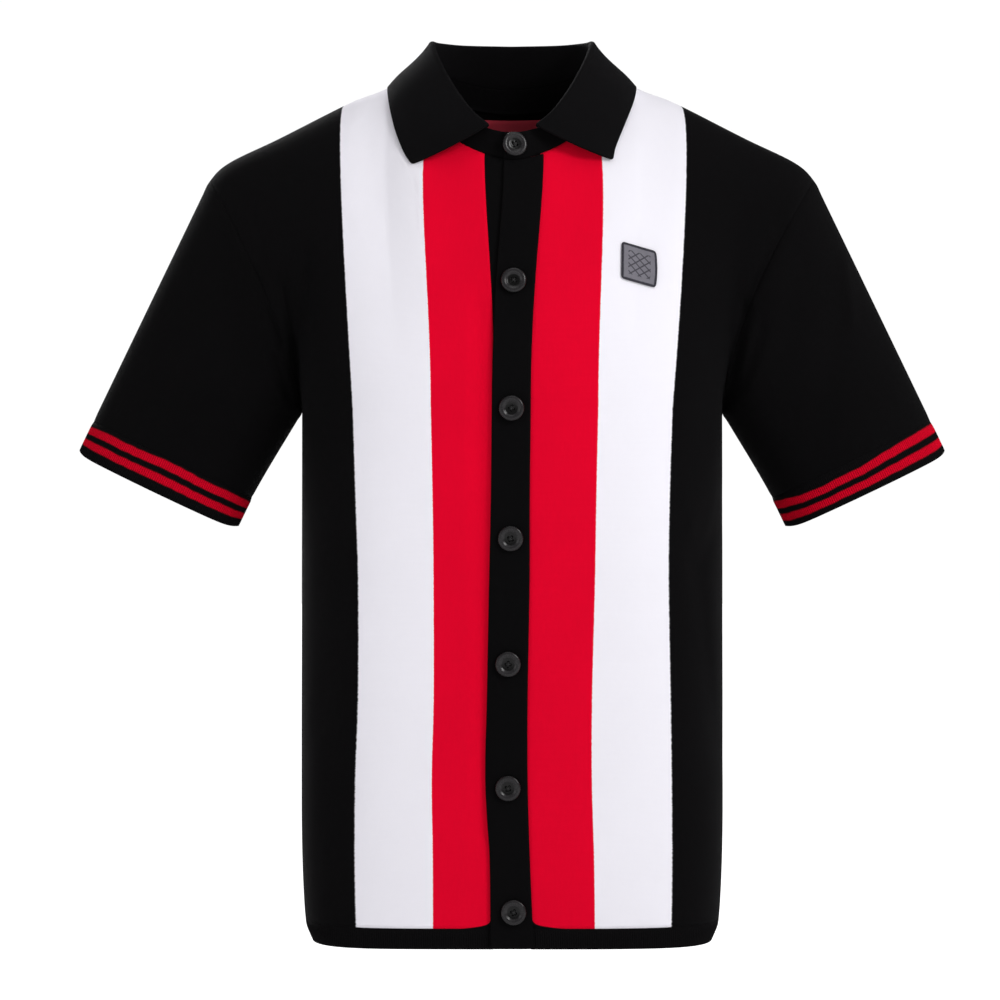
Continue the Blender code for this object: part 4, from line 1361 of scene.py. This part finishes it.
def cuff_shape(side, rows):
    """A cuff with the corners of its open edge rounded, and each point's height among the stripes."""
    scale, shift = CUFF_SHIFT[side]
    stretch = CUFF_STRETCH[side]
    up = Vector((-side * CUFF_DOWN.x, 0.0, -CUFF_DOWN.z))
    made = []
    rises = []
    last = len(rows) - 1
    for i, row in enumerate(rows):
        near = (1 - i / last) ** 2
        line = []
        rise = []
        for point in row:
            seen = Vector((abs(point.x), 0.0, point.z))
            share = (seen - CUFF_MIDDLE).dot(CUFF_OUT) / CUFF_HALF_WIDTH
            line.append(point + up * (CUFF_CORNER * near * min(abs(share), 1) ** CUFF_CORNER_POWER))
            place = (1 - share) / 2 * (len(stretch) - 1)
            at = max(0, min(int(place), len(stretch) - 2))
            here = mix(stretch[at], stretch[at + 1], max(0.0, min(place - at, 1.0)))
            rise.append(scale * CUFF_LENGTH * i / last / here + shift)
        made.append(line)
        rises.append(rise)
    return made, rises


def dress_fronts(pieces, look):
    stops = front_stops()
    for side, name in SIDES:
        nodes = [f"front_{name}_{panel}" for panel in ("red", "white", "side")]
        panels = [pieces[node][0] for node in nodes[::side]]
        rows = [a + b[1:] + c[1:] for a, b, c in zip(*panels)]
        made = lay_cloth(f"front_{name}", rows, nodes, look,
                         masks={"column": [stops[::side]] * len(rows)},
                         zero=0 if side > 0 else len(stops) - 1)
        walled(smoothed(made), CLOTH)


def dress_back_and_sleeves(pieces, looks):
    rows = pieces["back"][0]
    made = lay_cloth("back_cloth", rows, ["back"], looks["black"], zero=len(rows[0]) // 2)
    walled(smoothed(made), CLOTH)
    for side, name in SIDES:
        rows = pieces[f"sleeve_{name}"][0]
        made = lay_cloth(f"sleeve_cloth_{name}", rows, [f"sleeve_{name}"], looks["black"],
                         closed=True)
        walled(smoothed(made), CLOTH)
        rows, rise = cuff_shape(side, ribbed(pieces[f"cuff_{name}"][0], True))
        made = lay_cloth(f"cuff_rib_{name}", tucked(rows, True, 1), [f"cuff_{name}"], looks["cuff"],
                         closed=True, masks={"rise": rise + rise[-1:]}, column_step=RIB_COLUMN)
        walled(made, RIB_CLOTH, offset=0)


def dress_edges(pieces, looks):
    for name, flat, rest in (("hem_front_right", (0.260, 0.0167), "front_right"),
                             ("hem_front_left", (0.260, 0.0167), "front_left"),
                             ("hem_back", (0.525, 0.0167), "back")):
        rows = tucked(ribbed(pieces[name][0], False), False, 1)
        made = lay_cloth(f"{name}_rib", rows, [name], looks["hem"], column_step=RIB_COLUMN)
        walled(made, RIB_CLOTH, offset=0)
    rows = pieces["placket_under"][0]
    made = lay_cloth("button_band_under", rows, ["placket_under"], looks["band"])
    walled(smoothed(made), BAND_CLOTH, BAND_EDGE)
    rows = tucked(pieces["neckband"][0], False, 0)
    made = lay_cloth("neck_band", rows, ["neckband"], looks["band"])
    walled(smoothed(made), BAND_CLOTH, BAND_EDGE)


def lay_placket_over(look):
    levels = [OUTER_LOW_LEVEL] + hem_levels()[1:-1] + lower_levels()[:-1] + [OUTER_TOP_LEVEL]
    stops = spread(0, 1, PLACKET_COLUMNS)
    rows = [[waved(p) for p in row] for row in grid(levels, stops, outer_placket_point)]
    heights = [LAP_HEIGHT - PLACKET_SEAM_DROP * max(0.0, stop * 6 - 5) ** 2 for stop in stops]
    rows = tucked(lifted(rows, False, heights), False, 1)
    made = lay_cloth("button_band_outer", rows, ["placket_outer"], look)
    walled(smoothed(made), OUTER_BAND_CLOTH, BAND_EDGE)


def fold_collar_over(look):
    rows = lifted(collar_rows(), False, WALL / 2)
    widest = max(point.x for point in rows[-1])
    for up, share in enumerate(SIDE_SHARES, start=1):
        for j, point in enumerate(rows[-up]):
            near = share * min(1.0, abs(point.x) / widest) ** SIDE_POWER
            rows[-up][j] = point - Vector((math.copysign(SIDE_IN, point.x), 0.0, SIDE_DROP)) * near
    for j, beside in ((0, 1), (-1, -2)):
        rows[-1][j] = rows[-1][j].lerp((rows[-2][j] + rows[-1][beside]) / 2, TIP_ROUND)
    made = lay_cloth("fold_over_collar", rows, ["collar"], look)
    walled(smoothed(made, corners="ALL"), COLLAR_CLOTH, COLLAR_EDGE)


def only(*made):
    """Selects these objects alone and makes the first one active."""
    bpy.ops.object.select_all(action="DESELECT")
    for each in made:
        each.select_set(True)
    bpy.context.view_layer.objects.active = made[0]
    return made[0]


def shaped_in_place(made):
    """Moves an object's place and turn into its mesh."""
    only(made)
    bpy.ops.object.transform_apply(location=True, rotation=True, scale=True)
    return made


def turned_button():
    """A four-hole button with a raised rim and a dished middle, lying face up at the origin."""
    size = BUTTON_FOOT
    level = 0.0
    bpy.ops.mesh.primitive_circle_add(vertices=BUTTON_SIDES, radius=BUTTON_RADIUS * size, fill_type="NGON")
    made = only(bpy.context.object)
    bpy.ops.object.mode_set(mode="EDIT")
    bpy.ops.mesh.select_all(action="SELECT")
    for share, height in BUTTON_STEPS:
        rise = (height - level) * BUTTON_HEIGHT
        bpy.ops.mesh.extrude_region_move(TRANSFORM_OT_translate={"value": (0, 0, rise)})
        bpy.ops.transform.resize(value=(share / size, share / size, 1), center_override=(0, 0, 0))
        size, level = share, height
    bpy.ops.mesh.select_all(action="SELECT")
    bpy.ops.mesh.normals_make_consistent(inside=False)
    bpy.ops.object.mode_set(mode="OBJECT")
    for turn in range(4):
        angle = math.radians(45 + 90 * turn)
        place = (math.cos(angle) * HOLE_OUT, math.sin(angle) * HOLE_OUT, 0)
        bpy.ops.mesh.primitive_cylinder_add(
            vertices=HOLE_SIDES, radius=HOLE_RADIUS, depth=DRILL_LENGTH, location=place)
        drill = shaped_in_place(bpy.context.object)
        only(made)
        cut = made.modifiers.new("hole", "BOOLEAN")
        cut.object = drill
        bpy.ops.object.modifier_apply(modifier="hole")
        bpy.data.objects.remove(drill, do_unlink=True)
    only(made)
    bevelled(made, "soft edge", BUTTON_EDGE, BUTTON_EDGE_TURN)
    bpy.ops.object.modifier_apply(modifier="soft edge")
    bpy.ops.object.shade_smooth_by_angle(angle=math.radians(BUTTON_SHARP_TURN))
    # Painted light on the button: the rim lighter as a painted highlight, the dish and the outer slope darker
    # as painted shade
    painted_lights = made.data.attributes.new("painted_light", "FLOAT", "POINT")
    for vertex, painted_light in zip(made.data.vertices, painted_lights.data):
        share = vertex.co.xy.length / BUTTON_RADIUS
        painted_light.value = BUTTON_PAINTED_LIGHT[-1][1]
        for (low, dark), (high, light) in zip(BUTTON_PAINTED_LIGHT, BUTTON_PAINTED_LIGHT[1:]):
            if low <= share < high:
                painted_light.value = mix(dark, light, (share - low) / (high - low))
    return made


def thread_cross():
    """Two stitches of thread that cross between the holes."""
    strands = []
    for turn in (0, 1):
        bpy.ops.mesh.primitive_cylinder_add(
            vertices=THREAD_SIDES, radius=THREAD_RADIUS, depth=2 * THREAD_HALF_LENGTH, end_fill_type="TRIFAN")
        strand = only(bpy.context.object)
        bpy.ops.object.mode_set(mode="EDIT")
        bpy.ops.mesh.select_all(action="SELECT")
        bpy.ops.mesh.subdivide(number_cuts=THREAD_CUTS)
        bpy.ops.object.mode_set(mode="OBJECT")
        strand.rotation_euler = (math.pi / 2, 0, math.radians(45 + 90 * turn))
        shaped_in_place(strand)
        for vertex in strand.data.vertices:
            out = vertex.co.xy.length / THREAD_HALF_LENGTH
            vertex.co.z += THREAD_HEIGHT - THREAD_ARCH * out**4 + THREAD_CROSSING * turn
        strands.append(strand)
    only(*strands)
    bpy.ops.object.join()
    bpy.ops.object.shade_smooth()
    return bpy.context.object


def sew_on_buttons(looks):
    button = turned_button()
    thread = thread_cross()
    for number, place in enumerate(BUTTONS, start=1):
        centre, out = band_face(place)
        out = (out + Vector((place.lean_across, 0.0, place.lean_up))).normalized()
        seat = Matrix.Translation(centre + out * SEAM_GAP) @ out.to_track_quat("Z", "Y").to_matrix().to_4x4()
        seat = seat @ Matrix.Rotation(math.radians(place.turn), 4, "Z")
        for kind, source, look in (("sewn_button", button, "button"), ("button_thread", thread, "thread")):
            mesh = source.data.copy()
            mesh.transform(seat)
            mesh.materials.clear()
            mesh.materials.append(looks[look])
            made = in_scene(f"{kind}_{number}", mesh)
            if kind == "sewn_button":
                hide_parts(f"button_{number}")
    bpy.data.objects.remove(button, do_unlink=True)
    bpy.data.objects.remove(thread, do_unlink=True)


def badge_rows():
    stops = spread(-0.5, 0.5, BADGE_STEPS)
    rows = []
    for up in stops:
        row = []
        for across in stops:
            dx = across * BADGE_WIDTH
            dz = up * BADGE_HEIGHT
            bow = BADGE_BOW * (across + 0.5) * (1 - (2 * up) ** 2)
            place = front_place(1, BADGE_X + dx + bow + dz * BADGE_LEAN, BADGE_Z + dz - dx * BADGE_FALL)
            row.append(waved(body_point(1, False, *place)))
        rows.append(row)
    for i, inner_i in ((0, 1), (-1, -2)):
        for j, inner_j in ((0, 1), (-1, -2)):
            rows[i][j] = rows[i][j].lerp((rows[i][inner_j] + rows[inner_i][j]) / 2, BADGE_CORNER_ROUND)
    return rows


def label_rows():
    """From the label's lower edge up, just under the neckband at the back."""
    rows = []
    for drop in spread(LABEL_TOP + LABEL_HEIGHT, LABEL_TOP, LABEL_ROWS):
        row = []
        for across in spread(0.5, -0.5, LABEL_COLUMNS):
            x = across * LABEL_WIDTH
            point = body_point(1 if x >= 0 else -1, True, abs(x) / NECK_HALF, 2 - drop / BACK_LEVEL_HEIGHT)
            row.append(Vector((x, point.y, neck_point(1, math.pi).z - drop)))
        rows.append(row)
    return rows


def sew_on_badge_and_label(looks):
    rows = lifted(badge_rows(), False, BADGE_WALL + 2 * SEAM_GAP)
    made = lay_cloth("woven_badge", rows, ["chest_badge"], looks["badge"],
                     column_step=BADGE_CLOTH_WIDTH / BADGE_STEPS)
    walled(smoothed(made), BADGE_WALL, BADGE_EDGE)
    rows = lifted(label_rows(), False, -(WALL + 2 * SEAM_GAP))
    made = lay_cloth("sewn_label", rows, ["neck_label"], looks["label"])
    walled(made, LABEL_WALL, LABEL_EDGE)


def button_look():
    made, w, shader = plain_look("button", Specular_IOR_Level=0.22)
    cloud = w.speckle(w.placed(), *BUTTON_CLOUDS)
    bright, rough = (w.plus(least, w.times(cloud, more)) for least, more in (BUTTON_BRIGHT, BUTTON_ROUGH))
    # The button's painted rim highlight and painted dish shade, with its clouds
    shade = w.times(w.attribute("painted_light"), bright)
    w.feed(shader.inputs["Base Color"], w.shaded(BUTTON_GREY, 0.0, shade))
    w.feed(shader.inputs["Roughness"], rough)
    return made


def thread_look():
    made, w, shader = plain_look("thread", Roughness=0.7)
    finish(w, shader, (*BLACK_YARN, 1.0), w.speckle(w.placed(), THREAD_TWIST_SCALE), THREAD_RELIEF)
    return made


def badge_look():
    """Twill ground crossed by a fine lattice of darker thread, and a thick overstitched border."""
    made, w, shader = fabric("badge", roughness=0.75)
    cloth = w.uv()
    across, along = w.split(cloth)
    slant = w.plus(across, along)
    twill = w.wave(slant, TWILL_PITCH)
    rise = w.times(along, BADGE_LOZENGE_SLOPE)
    rising = w.math("PINGPONG", w.plus(across, rise), BADGE_LOZENGE)
    falling = w.math("PINGPONG", w.less(across, rise), BADGE_LOZENGE)
    thread = w.less(1.0, w.between(*BADGE_THREAD_WIDTH, w.math("MINIMUM", rising, falling)))
    inner = w.math("MINIMUM", w.math("MINIMUM", across, w.less(BADGE_CLOTH_WIDTH, across)),
                   w.math("MINIMUM", along, w.less(BADGE_CLOTH_HEIGHT, along)))
    inner = w.plus(inner, w.times(w.less(w.speckle(cloth, BORDER_STRAY_SCALE), 0.5), BORDER_STRAY))
    field = w.times(thread, w.between(*BADGE_FIELD_EDGE, inner))
    wear = w.speckle(w.placed(), BADGE_WEAR_SCALE)
    dark = (*BADGE_BORDER, 1.0)
    # The twill paints shade along its low lines; the wear is the ground's own uneven tone
    ground = w.shaded(BADGE_GREY, BADGE_LOW, w.plus(w.times(twill, TWILL_SHADE), wear))
    ground = w.blend(w.times(field, BADGE_THREAD_DARK), ground, dark)
    inside = w.between(*BADGE_BORDER_WIDTH, inner)
    ridge = w.less(1.0, inside)
    wraps = w.wave(slant, OVERSTITCH_PITCH)
    height = w.plus(ridge, w.times(w.times(ridge, wraps), OVERSTITCH_RISE))
    height = w.plus(height, w.times(twill, TWILL_RISE))
    height = w.plus(height, w.times(field, BADGE_THREAD_RISE))
    finish(w, shader, w.blend(inside, dark, ground), height, BADGE_RELIEF)
    return made


def label_look():
    made, w, shader = fabric("label", roughness=0.5)
    rows = w.wave(w.split(w.uv())[1], TWILL_PITCH)
    # Painted shade: the rows darken the maroon where their relief dips
    shade = w.plus(w.times(rows, LABEL_ROW_SHADE), LABEL_SHADE)
    finish(w, shader, w.shaded(MAROON_YARN, MAROON_LOW, shade), rows, LABEL_RELIEF)
    return made


def floor_look():
    """A pale floor that glows more and more away from the shirt."""
    made, w, shader = plain_look("pale floor", Base_Color=(0.93, 0.93, 0.94, 1.0), Roughness=0.9,
                                 Emission_Strength=1.0)
    away = w.node("VectorMath")
    away.operation = "LENGTH"
    w.feed(away.inputs[0], w.placed())
    glow = w.between(FLOOR_GLOW_FROM, FLOOR_GLOW_FULL, away.outputs["Value"])
    w.feed(shader.inputs["Emission Color"], glow)
    return made


def set_stage():
    """A pale floor that grows bright behind, soft boxes, and the camera at the photo's place."""
    bpy.ops.mesh.primitive_plane_add(size=1, location=(0, 0, FLOOR_Z))
    floor = only(bpy.context.object)
    floor.name = "floor"
    floor.scale = (FLOOR_SIZE, FLOOR_SIZE, 1)
    bpy.ops.object.transform_apply(location=False, rotation=False, scale=True)
    floor.data.materials.append(floor_look())
    for light in LIGHTS:
        data = bpy.data.lights.new(light.name, "AREA")
        data.shape = "RECTANGLE"
        data.size, data.size_y = light.size
        data.energy = light.power
        lamp = in_scene(light.name, data)
        lamp.location = light.place
        lamp.rotation_euler = (SHIRT_MIDDLE - lamp.location).to_track_quat("-Z", "Y").to_euler()
    world = bpy.data.worlds.new("studio")
    bpy.context.scene.world = world
    world.use_nodes = True
    w = Wiring(world.node_tree)
    seen = w.node("LightPath").outputs["Is Camera Ray"]
    sky = world.node_tree.nodes["Background"]
    sky.inputs["Color"].default_value = (1.0, 1.0, 1.0, 1.0)
    w.feed(sky.inputs["Strength"], w.plus(WORLD_LIGHT, w.times(seen, SKY_SEEN - WORLD_LIGHT)))
    data = bpy.data.cameras.new("camera")
    data.lens = SENSOR_WIDTH * CAMERA_AWAY / VIEW_WIDTH
    data.clip_end = CAMERA_FAR
    camera = in_scene("camera", data)
    camera.location = (CAMERA_X, -CAMERA_AWAY, CAMERA_Z)
    camera.rotation_euler = (math.pi / 2, 0, 0)
    bpy.context.scene.camera = camera
    bpy.context.scene.view_settings.view_transform = "Standard"


def main():
    stitches = stitch_group()
    rib = rib_group()
    looks = {
        "front": front_look(stitches),
        "black": black_knit_look(stitches),
        "cuff": rib_look(rib, "striped rib", True),
        "hem": rib_look(rib, "hem rib"),
        "band": black_knit_look(stitches, "band knit", **FINE_KNIT),
        "collar": black_knit_look(stitches, "collar knit", **FINE_KNIT, sheen=COLLAR_SHEEN),
        "button": button_look(),
        "thread": thread_look(),
        "badge": badge_look(),
        "label": label_look(),
    }
    pieces = sewn({name: ([[waved(p) for p in row] for row in rows], closed)
                   for name, (rows, closed) in skin().items()})
    dress_fronts(pieces, looks["front"])
    dress_back_and_sleeves(pieces, looks)
    dress_edges(pieces, looks)
    lay_placket_over(looks["band"])
    fold_collar_over(looks["collar"])
    sew_on_buttons(looks)
    sew_on_badge_and_label(looks)
    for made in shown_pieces():
        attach(made, "root")
    set_stage()
    bpy.ops.object.select_all(action="DESELECT")


main()
